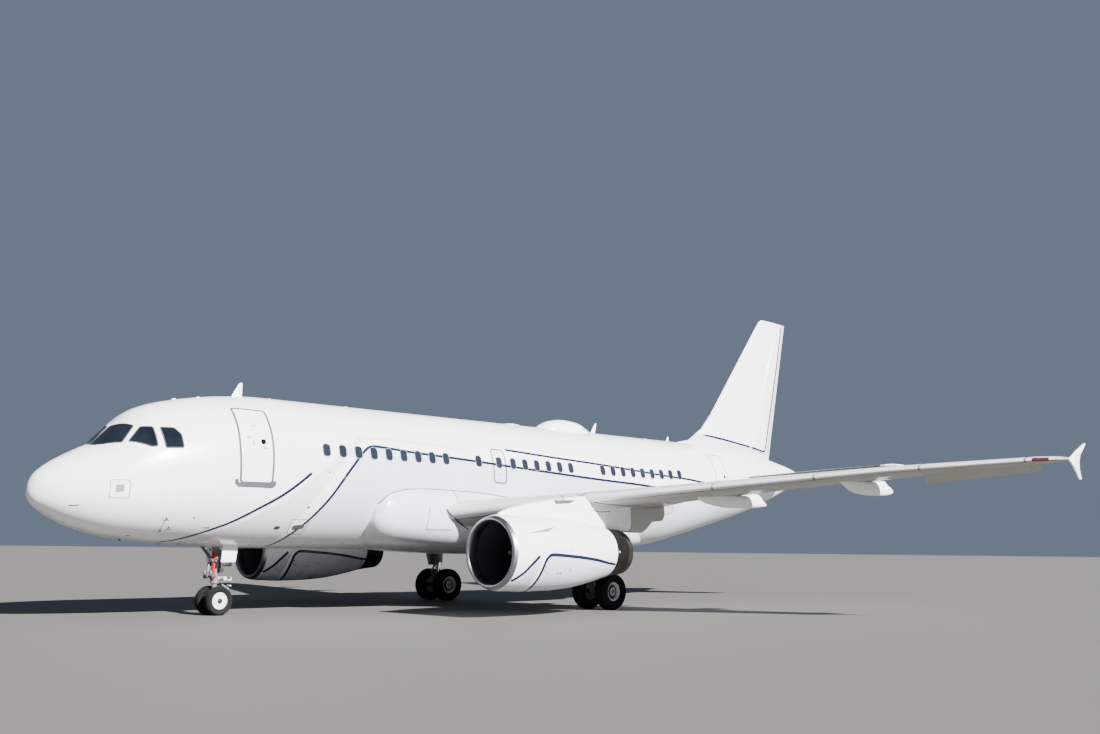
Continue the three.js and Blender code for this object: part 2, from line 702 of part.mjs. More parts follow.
// Belly fairing with its two main gear bay doors, which lie in shallow pockets
function bellyParts() {
  const { front, rear, inner, outer, outerGap, thickness, depth, cutDepth, hinge } = BAY_DOOR;
  const whole = belly();
  const pocketLayer = whole.subtract(whole.translate([0, 0, depth]));
  const leafLayer = whole.subtract(whole.translate([0, 0, thickness]));
  const across = (side, gap, endGap, reachGap) => {
    const xs = [side * (inner + gap), side * (outer - reachGap)].sort((p, q) => p - q);
    return box(point(xs[0], front + endGap, KEEL - cutDepth), point(xs[1], rear - endGap, KEEL + cutDepth));
  };
  let fairing = whole.subtract(grownBody);
  const doors = {};
  for (const [name, side] of SIDES) {
    fairing = fairing.subtract(pocketLayer.intersect(across(side, 0, 0, 0)));
    doors[name] = leafLayer.intersect(across(side, RUNNING, RUNNING, outerGap));
    const pin = (station) => point(side * inner, station, hinge.height);
    fairing = fairing.add(
      bar(pin(front + hinge.inset), pin(rear - hinge.inset), hinge.radius, hinge.radius, hinge.sides));
  }
  return { fairing, doors };
}
const under = bellyParts();
add('belly_fairing', under.fairing, 'paint');
for (const [name] of SIDES) add(`main_bay_door_${name}`, under.doors[name], 'paint');

function dome() {
  return loft(DOME.map(([station, width, top]) => (
    sectionRing(0, station, width, DOME_BASE, top, DOME_POWER, DOME_POINTS)))).subtract(grownBody);
}
add('dome_antenna_cover', dome(), 'paint');

const rudder = rudderSplit(finSolid().subtract(grownAft));
add('fin', rudder.fixed, 'paint');
add('rudder', rudder.moving, 'paint');

const grownBelly = belly(SEAT);
for (const [name, side] of SIDES) {
  const tail = elevatorSplit(tailSolid(side).subtract(grownAft), side);
  add(`tailplane_${name}`, tail.fixed, 'paint');
  add(`elevator_${name}`, tail.moving, 'paint');

  const grownWing = wingSolid(side, SEAT);
  const wing = aileronSplit(wingSolid(side).subtract(grownBody).subtract(grownBelly), side);
  add(`wing_${name}`, wing.fixed.add(pad(side * WING_PAD.x, WING_PAD.station, WING_PAD.skin)), 'wing');
  add(`aileron_${name}`, wing.moving, 'wing');

  addFence(name, side, grownWing);
  addTracks(name, side, grownWing);
  addEngine(name, side, grownWing);
  addMainGear(name, side, grownWing);
}
addNoseGear();

function addFence(name, side, grownWing) {
  const shape = new THREE.Shape(FENCE.map(([station, height]) => new THREE.Vector2(station - PIVOT, height)));
  const geometry = new THREE.ExtrudeGeometry(shape, { depth: FENCE_THICKNESS, bevelEnabled: false });
  // Shape x is the station, shape y the height, and the depth runs along x.
  const basis = new THREE.Matrix4().makeBasis(
    new THREE.Vector3(0, 1, 0), new THREE.Vector3(0, 0, 1), new THREE.Vector3(1, 0, 0));
  geometry.applyMatrix4(basis);
  geometry.translate(side > 0 ? FENCE_X : -FENCE_X - FENCE_THICKNESS, 0, 0);
  add(`wingtip_fence_${name}`, fromGeometry(geometry).subtract(grownWing), 'paint');
}

function addTracks(name, side, grownWing) {
  for (const track of TRACKS) {
    const [, leS, leH, teS, teH] = rowAt(WING, track.x);
    const rings = track.rows.map(([station, halfWidth, bottom, rise]) => {
      const share = Math.min((station - leS) / (teS - leS), 1);
      const top = Math.max(leH + share * (teH - leH) + rise, bottom + TRACK_DEPTH);
      return sectionRing(side * track.x, station, halfWidth, bottom, top, TRACK_POWER, TRACK_POINTS);
    });
    add(`track_fairing_${track.name}_${name}`, loft(rings).subtract(grownWing), 'paint');
  }
}

// The fan: twisted blades on a hub with a conical spinner.
function fanSolid(side) {
  const { tip, nose, front, back, root, tipLength, tipRadius, blades } = FAN;
  const { chord, halfWidth, sunk, rootPitch, tipPitch } = FAN;
  let body = turned(side, [
    [nose, 0], [nose + tipLength, tipRadius], [front, root], [back, root], [back, 0]], blades);
  const middle = (front + back) / 2;
  for (let i = 0; i < blades; i += 1) {
    // Corners of a blade's section: front, front, rear, rear
    const ring = (radius, pitch) => [[-1, 1], [-1, -1], [1, -1], [1, 1]].map(([lengthwise, way]) => {
      const lean = THREE.MathUtils.degToRad(pitch);
      const along = (lengthwise * chord) / 2;
      const sweep = along * Math.sin(lean) + (way * halfWidth) * Math.cos(lean);
      const station = middle + along * Math.cos(lean) - (way * halfWidth) * Math.sin(lean);
      const angle = (2 * Math.PI * i) / blades + sweep / radius;
      const [out, up] = [radius * Math.cos(angle), radius * Math.sin(angle)];
      return point(side * ENGINE_X + out, station, ENGINE_HEIGHT + up);
    });
    body = body.add(loft([ring(root - sunk, rootPitch), ring(tip, tipPitch)], [3]));
  }
  const { radius, depth, sides } = FAN_SHAFT;
  const start = point(side * ENGINE_X, back - depth, ENGINE_HEIGHT);
  const end = point(side * ENGINE_X, back + depth, ENGINE_HEIGHT);
  return body.subtract(bar(start, end, radius, radius, sides));
}

function addEngine(name, side, grownWing) {
  const core = turned(side, CORE);
  const { radius, depth, endGap, root, sides } = FAN_SHAFT;
  const shaftStart = point(side * ENGINE_X, FAN.back - depth + endGap, ENGINE_HEIGHT);
  const shaftEnd = point(side * ENGINE_X, CORE[0][0] + root, ENGINE_HEIGHT);
  const shaft = bar(shaftStart, shaftEnd, radius - BEARING, radius - BEARING, sides);
  add(`inlet_lip_${name}`, turned(side, LIP), 'polished');
  add(`engine_cowl_${name}`, turned(side, COWL), 'paint');
  add(`exhaust_nozzle_${name}`, turned(side, NOZZLE), 'nozzle');
  add(`engine_core_${name}`, core.add(shaft), 'duct');
  add(`fan_${name}`, fanSolid(side), 'blade');

  const pylon = loft(PYLON.map(([station, width, low, high]) => (
    sectionRing(side * ENGINE_X, station, width, low, high, PYLON_POWER, PYLON_POINTS))));
  const cowlSkin = turned(side, [
    [LIP_END, 0], ...COWL_OUTSIDE.map(([s, r]) => [s, r + SEAT]),
    ...NOZZLE.slice(0, 2).map(([s, r]) => [s, r + NOZZLE_ROOM]), [NOZZLE[1][0], 0]]);
  add(`pylon_${name}`, pylon.subtract(cowlSkin).subtract(grownWing), 'paint');
}

// A tyre or a wheel, turned about an axle along x, with one of its flats at the bottom.
function turnedAbout(profile, centre) {
  const flat = Math.cos(Math.PI / WHEEL_STEPS);
  const points = [...profile, profile[0]].map(([r, along]) => new THREE.Vector2(r / flat, along));
  const geometry = new THREE.LatheGeometry(points, WHEEL_STEPS, Math.PI / WHEEL_STEPS);
  geometry.rotateZ(-Math.PI / 2);
  geometry.translate(centre.x, centre.y, centre.z);
  return fromGeometry(geometry);
}

function addWheel(name, size, x, side) {
  const { radius, width, rim, bore, station } = size;
  const centre = new THREE.Vector3(x, station, radius);
  const half = width / 2;
  const bead = rim + 2;
  const tyre = TYRE.map(([share, along]) => [bead + share * (radius - bead), along * half]);
  const out = side * half;
  const { back, edge, face } = WHEEL;
  const wheel = [
    [bore, back * out], [rim + RIM_LIP, -edge * out], [rim + RIM_LIP, edge * out],
    ...face.map(([share, along]) => [share * rim, along * out]), [bore, face[face.length - 1][1] * out]];
  add(`${name}_tyre`, turnedAbout(tyre, centre), 'tyre', model);
  add(`${name}_wheel`, turnedAbout(wheel, centre), 'rim', model);
}

function axle(size, x) {
  const { spacing, width, station, radius, bore } = size;
  const reach = new THREE.Vector3(spacing / 2 + width * WHEEL.axleShare + WHEEL.axleEnd, 0, 0);
  const centre = fromGround(x, station, radius);
  return bar(centre.clone().sub(reach), centre.clone().add(reach), bore - BEARING, bore - BEARING, AXLE_STEPS);
}

function plate(corners, across, half) {
  const ring = (way) => corners.map((p) => p.clone().addScaledVector(across, way * half));
  return loft([ring(-1), ring(1)]);
}

function addMainGear(name, side, grownWing) {
  const { cylinder, piston, collar, top, overlap, hub, links, stay } = MAIN_LEG;
  const x = side * MAIN_WHEEL.x;
  const foot = fromGround(x, MAIN_WHEEL.station, MAIN_WHEEL.radius);
  const at = (height, aft = 0, outwards = 0) => (
    foot.clone().add(new THREE.Vector3(side * outwards, aft, height - foot.z)));
  const { thick, thin } = links;
  const [lugStart, lugEnd, lugFoot, lugTip] = stay.lug;
  const [stayX, stayStation, stayHeight] = stay.head;
  const leg = bar(at(collar), at(top), cylinder)
    .add(bar(foot, at(collar + overlap), piston))
    .add(bar(at(foot.z + hub.low), at(foot.z + hub.high), hub.radius))
    .add(axle(MAIN_WHEEL, x))
    .add(bar(at(...links.top), at(...links.knee), thick, thin, 8))
    .add(bar(at(...links.knee), at(...links.foot), thin, thick, 8))
    .add(bar(at(stay.height), point(side * stayX, stayStation, stayHeight), stay.radius, stay.radius, 10))
    .add(bar(at(stay.height, 0, -lugStart), at(stay.height, 0, -lugEnd), lugFoot, lugTip, 10))
    .subtract(grownWing)
    .subtract(grownBelly)
    .subtract(grownBody);
  add(`main_leg_${name}`, leg, 'leg');

  const { gap, spread, half, low, high, arm } = MAIN_LEG_DOOR;
  const inner = side * (MAIN_WHEEL.x + cylinder + gap);
  const outer = inner + side * spread;
  const panel = plate([
    point(inner, low[0], low[2]), point(inner, low[1], low[2]),
    point(outer, high[1], high[2]), point(outer, high[0], high[2])], PORT, half);
  const armBar = bar(
    at(arm.height, 0, cylinder + arm.start), at(arm.height, 0, cylinder + arm.end), arm.radius, arm.radius, 12);
  const grownCylinder = bar(at(collar), at(top), cylinder + SEAT);
  add(`main_leg_door_${name}`, panel.add(armBar).subtract(grownCylinder).subtract(grownWing), 'paint');

  for (const [place, way] of [['outer', 1], ['inner', -1]]) {
    const wheelX = x + side * way * MAIN_WHEEL.spacing / 2;
    addWheel(`main_${name}_${place}`, MAIN_WHEEL, wheelX, side * way);
  }
}

function addNoseGear() {
  const { cylinder, piston, collar, top, bore, pistonTop, drag, bars, lamp, hub, cuff, links } = NOSE_LEG;
  const foot = fromGround(0, NOSE_WHEEL.station, NOSE_WHEEL.radius);
  const at = (height, aft = 0, x = 0) => foot.clone().add(new THREE.Vector3(x, aft, height - foot.z));
  const grownNose = fuselage(RADOME_END, FORWARD_END, SEAT);

  // The fixed leg with its drag strut and lights; the bore takes the steered piston.
  const [armStart, armEnd, armRadius] = lamp.arm;
  let leg = bar(at(collar), at(top), cylinder)
    .add(bar(at(...drag.foot), point(0, ...drag.head), drag.radius, drag.radius, 10))
    .add(bar(at(lamp.height, armStart), at(lamp.height, armEnd), armRadius, armRadius, 8));
  for (const [height, aft, half, radius, sides] of bars) {
    leg = leg.add(bar(at(height, aft, -half), at(height, aft, half), radius, radius, sides));
  }
  for (const way of [1, -1]) {
    const [front, back] = [at(lamp.height, lamp.front, way * lamp.x), at(lamp.height, lamp.back, way * lamp.x)];
    leg = leg.add(bar(front, back, lamp.frontRadius, lamp.backRadius));
  }
  leg = leg.subtract(bar(at(bore[0]), at(bore[1]), piston + BEARING, piston + BEARING, AXLE_STEPS));
  add('nose_leg', leg.subtract(grownNose), 'leg');

  // The steered piston with its axle, torque links and towing fitting, which has a flat face in front
  const cuffTop = collar - RUNNING;
  const { reach, root, low, high, half } = TOW;
  const strut = bar(foot, at(pistonTop), piston, piston, AXLE_STEPS)
    .add(bar(at(foot.z + hub.low), at(foot.z + hub.high), hub.radius))
    .add(axle(NOSE_WHEEL, 0))
    .add(bar(at(cuffTop - cuff.depth), at(cuffTop), cuff.radius))
    .add(bar(at(...links.top), at(...links.knee), links.topRadius, links.kneeRadius, 8))
    .add(bar(at(...links.knee), at(...links.foot), links.kneeRadius, links.footRadius, 8))
    .add(box(at(foot.z + low, -reach, -half), at(foot.z + high, -root, half)));
  add('nose_strut', strut, 'leg');

  const { x: doorX, lean, half: doorHalf, top: doorTop, bottom: doorBottom } = NOSE_DOOR;
  for (const [name, side] of SIDES) {
    const [upperX, lowerX] = [side * doorX, side * (doorX - lean)];
    const panel = plate([
      point(upperX, doorTop[0], doorTop[2]), point(upperX, doorTop[1], doorTop[2]),
      point(lowerX, doorBottom[1], doorBottom[2]), point(lowerX, doorBottom[0], doorBottom[2]),
    ], PORT, doorHalf);
    add(`nose_door_${name}`, panel.subtract(grownNose), 'paint');
    addWheel(`nose_${name}`, NOSE_WHEEL, side * NOSE_WHEEL.spacing / 2, side);
  }
}

// The origin is on the ground, under the middle of the aircraft.
model.updateMatrixWorld(true);
const bounds = new THREE.Box3().setFromObject(model, true);
model.position.y = -(bounds.min.y + bounds.max.y) / 2;

export default model;
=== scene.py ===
"""Narrow-body airliner, parked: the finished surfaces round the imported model. Metres.

+X is the aircraft's left (port) side, the nose points along -Y, +Z is up. The airframe is drawn
level, as x, station (aft of the nose tip) and height, and is then stood nose down as it parks.
"""

import math
from bisect import bisect_right
from contextlib import contextmanager
from functools import lru_cache

import bmesh
import bpy
from bpy.props import FloatProperty, FloatVectorProperty, IntProperty, PointerProperty
from mathutils import Matrix, Vector


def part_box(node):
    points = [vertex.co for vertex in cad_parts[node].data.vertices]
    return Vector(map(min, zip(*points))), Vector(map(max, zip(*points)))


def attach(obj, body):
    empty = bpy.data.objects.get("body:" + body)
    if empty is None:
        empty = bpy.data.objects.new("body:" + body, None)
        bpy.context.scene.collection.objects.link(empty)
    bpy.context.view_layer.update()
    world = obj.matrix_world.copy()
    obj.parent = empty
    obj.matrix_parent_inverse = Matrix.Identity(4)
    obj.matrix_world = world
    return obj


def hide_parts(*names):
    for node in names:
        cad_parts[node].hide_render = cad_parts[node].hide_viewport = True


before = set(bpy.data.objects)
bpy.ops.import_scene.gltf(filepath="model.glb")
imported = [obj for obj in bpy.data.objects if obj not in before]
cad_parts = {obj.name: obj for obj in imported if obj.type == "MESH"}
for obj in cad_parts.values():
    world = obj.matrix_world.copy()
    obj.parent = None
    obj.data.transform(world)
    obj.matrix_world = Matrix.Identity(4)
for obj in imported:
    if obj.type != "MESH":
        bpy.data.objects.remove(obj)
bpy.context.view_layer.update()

bl_info = {
    "name": "Narrow-body airliner",
    "version": (1, 0, 0),
    "blender": (4, 5, 0),
    "location": "View3D > Sidebar > Airliner",
    "description": "Builds the finished surfaces of a parked narrow-body airliner",
    "category": "Add Mesh",
}

# Attitude: the airframe is turned nose down about the station of the main wheels
NOSE_DOWN = math.radians(0.447)
PIVOT = 16.11
NOSE_TIP = 3.185
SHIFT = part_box("radome")[0].y + PIVOT * math.cos(NOSE_DOWN) + NOSE_TIP * math.sin(NOSE_DOWN)
AIRFRAME = (Matrix.Translation((0, SHIFT, 0)) @ Matrix.Rotation(NOSE_DOWN, 4, "X")
            @ Matrix.Translation((0, -PIVOT, 0)))
SIDES = (("left", 1), ("right", -1))
MIRROR = Matrix.Scale(-1, 4, (1, 0, 0))

# Fuselage: station, half width, top, bottom, height of the widest point
BODY = [
    (0.0001, 0.012, 3.199, 3.173, 3.185), (0.03, 0.170, 3.370, 3.025, 3.190), (0.12, 0.345, 3.560, 2.880, 3.200),
    (0.30, 0.570, 3.740, 2.735, 3.225), (0.76, 0.920, 4.045, 2.470, 3.280), (1.25, 1.190, 4.300, 2.280, 3.340),
    (1.48, 1.295, 4.415, 2.212, 3.375), (1.75, 1.400, 4.690, 2.145, 3.410), (2.05, 1.500, 4.995, 2.095, 3.455),
    (2.35, 1.585, 5.250, 2.055, 3.500), (2.70, 1.668, 5.425, 2.010, 3.560), (3.20, 1.765, 5.580, 1.965, 3.640),
    (3.90, 1.868, 5.730, 1.910, 3.740), (4.80, 1.943, 5.862, 1.862, 3.820), (6.00, 1.975, 5.940, 1.830, 3.870),
    (8.05, 1.975, 5.940, 1.830, 3.870), (20.9, 1.975, 5.940, 1.830, 3.870), (22.4, 1.972, 5.940, 1.940, 3.900),
    (24.3, 1.905, 5.938, 2.280, 4.080), (26.2, 1.745, 5.920, 2.680, 4.300), (28.0, 1.490, 5.865, 3.055, 4.480),
    (29.8, 1.130, 5.750, 3.480, 4.640), (31.0, 0.855, 5.625, 3.840, 4.750), (31.75, 0.672, 5.520, 4.075, 4.800),
    (32.7, 0.450, 5.370, 4.380, 4.880), (33.4, 0.295, 5.210, 4.620, 4.920), (33.84, 0.215, 5.105, 4.745, 4.930),
]
FLAT_SHARE = 0.048  # straight part of the side, as a share of the half width
BODY_ENDS = (("radome", 0.0, 0.76), ("fuselage_forward", 0.76, 8.05), ("fuselage_centre", 8.05, 20.9),
             ("fuselage_aft", 20.9, 31.75), ("tail_cone", 31.75, 33.84))
BODY_POINTS = 96
SEAM = 0.0004  # half the gap where two body sections meet
BLADE_FOOT = 5.88  # height of the feet of the blade antennas, inside the skin

# Belly fairing: station, half width, bottom, top
BELLY = [
    (8.90, 1.84, 2.35, 3.15), (9.00, 1.95, 2.15, 3.45), (9.20, 2.06, 2.00, 3.70), (9.60, 2.14, 1.88, 3.85),
    (10.30, 2.20, 1.80, 3.95), (12.0, 2.24, 1.69, 3.87), (14.0, 2.25, 1.65, 3.75), (17.2, 2.24, 1.65, 3.57),
    (19.0, 2.08, 1.69, 3.30), (20.4, 1.75, 1.78, 2.80), (21.3, 1.20, 1.90, 2.40),
]
BELLY_POWER = 2.7
BELLY_STEPS = ((8.9, 9.6, 12), (9.6, 12, 12), (12, 17.2, 14), (17.2, 21.3, 22))  # from, to and number of sections
BAY = {"front": 14.95, "rear": 17.05, "inner": 0.19, "outer": 1.50, "outer_gap": 0.022, "gap": 0.006,
       "leaf": 0.060, "depth": 0.090}

# Wing: x, leading edge station and height, trailing edge station and height, thickness share
WING = [
    (0.9, 10.523, 2.770, 16.965, 2.480, 0.150), (2.2, 11.200, 2.880, 17.000, 2.600, 0.148),
    (6.4, 13.386, 3.300, 17.150, 3.270, 0.118), (9.5, 15.000, 3.600, 18.090, 3.590, 0.112),
    (13.1, 16.874, 3.950, 19.195, 3.905, 0.108), (16.4, 18.592, 4.175, 20.200, 4.190, 0.106),
    (16.8, 18.890, 4.195, 20.240, 4.210, 0.100), (17.0, 19.260, 4.205, 20.130, 4.210, 0.075),
]
CAMBER = 0.014
AILERON = {"inner": 13.35, "outer": 16.18, "share": 0.735}
FOIL_STEPS = 22

# Fin: height, leading edge station, trailing edge station, thickness share
FIN = [
    (5.10, 25.59, 31.37, 0.105), (6.40, 26.60, 31.69, 0.105), (11.45, 30.83, 32.942, 0.095),
    (11.64, 31.01, 32.99, 0.085), (11.72, 31.18, 33.01, 0.060),
]
# Tailplane: x, leading edge station, trailing edge station, thickness share
TAILPLANE = [
    (0.25, 26.854, 30.503, 0.105), (1.50, 27.672, 30.818, 0.105), (5.95, 30.587, 31.939, 0.095),
    (6.13, 30.740, 31.985, 0.080), (6.225, 31.000, 32.008, 0.055),
]
# Inboard of this x the tailplanes take the grey wing enamel as painted shade
TAILPLANE_SHADE_END = 5.93  # x of the white tips of the tailplanes
TAIL_HEIGHT = 4.410
TAIL_RISE = 0.1144

# Engine: place of its axis, and profiles of station and radius
ENGINE_X = 5.75
ENGINE_HEIGHT = 1.755
LIP = {"front": 9.60, "rear": 9.72, "inner_rear": 9.90, "radius": 0.868, "swell": 0.136, "reach": 0.55,
       "roundness": 2.3, "throat": 0.078}
COWL = [(10.15, 1.004), (10.8, 1.030), (11.6, 1.022), (12.4, 0.975), (13.2, 0.862), (13.9, 0.722)]
COWL_WIDEST = 1.030
DUCT = [(9.9003, 0.790), (10.45, 0.808), (11.3, 0.820), (12.6, 0.762), (13.9, 0.694)]
NOZZLE = [(13.9003, 0.720), (14.30, 0.668), (14.69, 0.622)]
CORE = [(11.70, 0.56), (12.6, 0.54), (13.4, 0.50), (13.8, 0.40), (14.2, 0.22), (14.5, 0.07), (14.58, 0.0)]
FAN = {"tip": 0.798, "nose": 10.30, "front": 10.62, "back": 11.06, "root": 0.225, "root_pitch": 8,
       "tip_pitch": 57, "chord": 0.25, "half": 0.009, "camber": 0.018}
# Pylon: station, half width, bottom, top
PYLON = [
    (9.90, 0.04, 2.60, 2.79), (10.3, 0.13, 2.56, 2.925), (11.0, 0.195, 2.50, 3.075), (12.2, 0.22, 2.45, 3.235),
    (13.25, 0.22, 2.35, 3.33), (14.3, 0.20, 2.37, 3.25), (15.08, 0.15, 2.37, 3.24), (15.2, 0.11, 2.42, 3.20),
]

# Flap track fairings: x, and rows of station, half width, bottom, rise of the top over the wing's chord line
TRACKS = {
    "inner": (5.45, [
        (15.23, 0.185, 2.35, -0.02), (16.0, 0.19, 2.325, -0.02), (16.2, 0.185, 2.40, -0.02),
        (16.6, 0.17, 2.66, -0.02), (17.08, 0.15, 2.70, 0.07), (17.16, 0.14, 2.88, 0.09), (17.5, 0.11, 2.93, 0.15),
        (17.76, 0.03, 3.06, 0.10)]),
    "middle": (8.15, [
        (15.35, 0.02, 3.33, -0.02), (15.52, 0.075, 3.238, -0.02), (15.9, 0.115, 3.137, -0.02),
        (16.35, 0.145, 3.085, -0.02), (16.83, 0.158, 3.05, -0.02), (17.6, 0.165, 3.062, -0.02),
        (18.1, 0.155, 3.075, 0.04), (18.3, 0.148, 3.085, 0.05), (18.45, 0.132, 3.098, 0.0),
        (18.6, 0.11, 3.115, -0.13), (18.83, 0.04, 3.15, -0.23)]),
    "outer": (11.75, [
        (16.98, 0.02, 3.71, -0.02), (17.15, 0.06, 3.65, -0.02), (17.34, 0.09, 3.57, -0.02),
        (17.6, 0.112, 3.472, -0.02), (17.93, 0.128, 3.413, -0.02), (18.54, 0.14, 3.38, -0.02),
        (19.0, 0.138, 3.382, 0.01), (19.4, 0.128, 3.395, 0.03), (19.52, 0.12, 3.405, -0.05),
        (19.75, 0.09, 3.435, -0.13), (19.95, 0.03, 3.48, -0.19)]),
}

# Domed antenna cover: station, half width, top
DOME = [(17.15, 0.06, 5.965), (17.4, 0.30, 6.09), (17.8, 0.46, 6.235), (18.35, 0.52, 6.305), (18.95, 0.47, 6.265),
        (19.5, 0.30, 6.11), (19.94, 0.06, 5.965)]
# Blade antennas: station of the front of the foot, foot length, tip height, rake
BLADES = {"forward": (5.30, 0.305, 6.315, 0.16), "middle": (19.95, 0.235, 6.335, 0.20),
          "aft": (24.34, 0.17, 6.14, 0.09)}

BEACON = (0, 13.66, 5.92)
# Jacking pads: places as x, station, top and bottom
NOSE_PAD = (0, 3.4, 2.0, 1.925)
WING_PAD = (7.0, 15.5, 3.25, 3.173)

# Cabin windows: first station and count of each row
WINDOW_ROWS = ((7.137, 9), (12.72, 1), (14.191, 6), (18.456, 9))
WINDOW_PITCH = 0.5334
WINDOW_HEIGHT = 4.472
EXIT_WINDOW = 13.58

# Routes of the painted lines on the body: station and height
LINE_FRONT = [(3.249, 1.991), (4.011, 2.236), (4.57, 2.483), (5.152, 2.815), (5.795, 3.193), (6.282, 3.54),
              (6.642, 3.82)]
LINE_SIDE = [(6.275, 1.887), (6.446, 2.059), (6.636, 2.297), (6.993, 2.742), (7.327, 3.189), (7.704, 3.72),
             (8.178, 4.285), (8.402, 4.503), (8.586, 4.633), (8.775, 4.674), (9.137, 4.663), (10.143, 4.588),
             (12.644, 4.458), (14.244, 4.361), (17.838, 4.162), (21.305, 3.996), (23.9, 3.88)]
LINE_UPPER = [(13.997, 4.90), (15.909, 4.789), (19.074, 4.621), (22.889, 4.382), (24.263, 4.28)]
# Edges of the pale grey band: station and height
BAND_FRONT = [(3.2, 1.84), (4.0, 2.09), (4.864, 2.48), (5.394, 2.743), (5.952, 3.091), (6.432, 3.486), (7.082, 3.983),
              (7.82, 4.56), (8.13, 4.808), (8.405, 4.924), (9.0, 4.945), (10.11, 4.925), (12.885, 4.782),
              (14.0, 4.72)]
BAND_REAR = [(6.231, 1.70), (6.265, 2.06), (6.369, 2.283), (6.486, 2.606), (6.707, 2.972), (6.953, 3.303),
             (7.293, 3.705), (7.633, 4.052), (8.048, 4.456), (8.221, 4.661), (8.413, 4.784), (8.698, 4.86),
             (9.512, 4.88), (12.0, 4.79), (14.0, 4.70)]
# Lines on the fin, as station and height, and on the cowl, as station and degrees above the outboard side
LINE_FIN = [(26.38, 6.39), (28.4, 6.195), (29.84, 6.068)]
LINE_RUDDER = [(30.03, 6.065), (30.6, 6.0), (30.97, 5.952), (31.12, 5.978), (31.2, 6.09), (31.45, 6.96),
               (32.21, 9.58), (32.72, 11.60)]
LINE_COWL_FRONT = [(9.76, -47), (9.912, -36.8), (10.044, -29), (10.163, -20.6), (10.30, -12.8), (10.46, -4.4)]
LINE_COWL_REAR = [(10.68, -88), (10.657, -73.1), (10.618, -53.9), (10.615, -35.8), (10.645, -22.1), (10.697, -11.2),
                  (10.792, -5.3), (10.903, -2.9), (11.299, -3.6), (11.71, -5.3), (12.237, -7.9), (12.926, -13.5),
                  (13.88, -26.7)]

# Upper edge of the white band over the cowl's rear line, as station and degrees
COWL_BAND = [(10.56, -88), (10.512, -73.4), (10.426, -48), (10.466, -32.1), (10.513, -18.9), (10.579, -8.3),
             (10.707, 0.6), (10.982, 3.6), (12.130, -0.4), (13.679, -13.8)]
COWL_DOTS = [(10.744, -20.5), (10.752, -26.9), (10.864, -31.3), (11.258, -31.5), (11.379, -31.6), (11.724, -26.4)]
COWL_SEAM = 11.69
STRAKE = {"front": (10.212, 29.6), "rear": (10.870, 32.5), "height": 0.22, "sweep": 0.09, "thickness": 0.014}
# Cockpit panes: the front one as station and x, the side ones as station and height
FRONT_PANE = [(1.385, 0.055), (1.88, 0.055), (2.135, 0.84), (1.785, 0.985), (1.372, 0.345)]
SIDE_PANES = {
    "middle": [(1.905, 4.405), (2.225, 4.79), (2.475, 4.80), (2.485, 4.31), (2.345, 4.285)],
    "rear": [(2.62, 4.795), (2.935, 4.795), (3.07, 4.63), (3.083, 4.295), (2.655, 4.272)],
}

# Doors: sides that have one, corners as station and height, corner radius, line width, finish
DOORS = {
    "front_door": ("both", [(4.535, 3.49), (4.52, 4.35), (4.595, 5.45), (5.50, 5.43), (5.468, 4.35), (5.445, 3.50)],
                   0.10, 0.060, "seal"),
    "exit_door": ("both", [(13.33, 3.84), (13.33, 4.88), (13.86, 4.88), (13.86, 3.84)], 0.13, 0.050, "seal"),
    "rear_door": ("both", [(25.12, 3.70), (25.16, 5.42), (25.94, 5.42), (25.92, 3.70)], 0.10, 0.034, "seal"),
    "front_hold_door": ("right", [(7.05, 2.25), (7.05, 3.46), (8.87, 3.46), (8.87, 2.25)], 0.09, 0.016, "seam"),
    "rear_hold_door": ("right", [(21.0, 2.48), (21.0, 3.55), (22.8, 3.55), (22.8, 2.62)], 0.09, 0.016, "seam"),
}
SILL = [(4.38, 3.46), (4.38, 3.57), (4.46, 3.585), (4.50, 3.49), (5.42, 3.49), (5.44, 3.56), (5.56, 3.555),
        (5.565, 3.45), (5.47, 3.375), (4.50, 3.375)]

# Small marks on the body: middle as station and height, width, height, corner radius, turn in degrees, finish
MARKS = {
    "front_door_handle": (4.918, 4.53, 0.026, 0.17, 0.008, 0, "shadow"),
    "front_door_spyhole": (5.197, 4.570, 0.15, 0.15, 0.074, 0, "cockpit"),
    "front_door_mark": (5.006, 4.986, 0.09, 0.035, 0.008, 0, "seam"),
    "front_door_note": (4.80, 4.66, 0.10, 0.05, 0.01, 0, "seam"),
    "front_door_vent": (5.23, 4.41, 0.12, 0.05, 0.01, 0, "seam"),
    "rear_door_spyhole": (25.745, 4.565, 0.13, 0.13, 0.064, 0, "cockpit"),
    "exit_handle": (13.60, 4.79, 0.10, 0.03, 0.012, 0, "marking_red"),
    "exit_note": (13.60, 4.10, 0.12, 0.025, 0.008, 0, "seam"),
    "nose_slot": (0.788, 2.835, 0.20, 0.026, 0.01, 0, "shadow"),
    "keel_fitting": (2.312, 2.132, 0.08, 0.05, 0.012, 0, "shadow"),
    "nose_vent": (2.910, 2.260, 0.06, 0.06, 0.029, 0, "seal"),
    "static_port": (3.561, 2.583, 0.05, 0.05, 0.024, 0, "seal"),
    "drain_slot": (4.020, 2.352, 0.15, 0.03, 0.012, 0, "seal"),
    "outflow_hole": (6.015, 2.374, 0.17, 0.12, 0.055, 0, "shadow"),
    "service_mark_low": (6.711, 2.916, 0.09, 0.05, 0.012, 25, "shadow"),
    "service_mark_high": (7.216, 3.870, 0.05, 0.05, 0.022, 0, "seal"),
    "service_mark_top": (7.736, 3.757, 0.07, 0.04, 0.012, 25, "shadow"),
    "port_grid": (1.634, 3.252, 0.175, 0.19, 0.012, 0, "grid"),
    "drain_panel": (6.655, 2.400, 0.36, 0.17, 0.075, 10, "seal"),
}
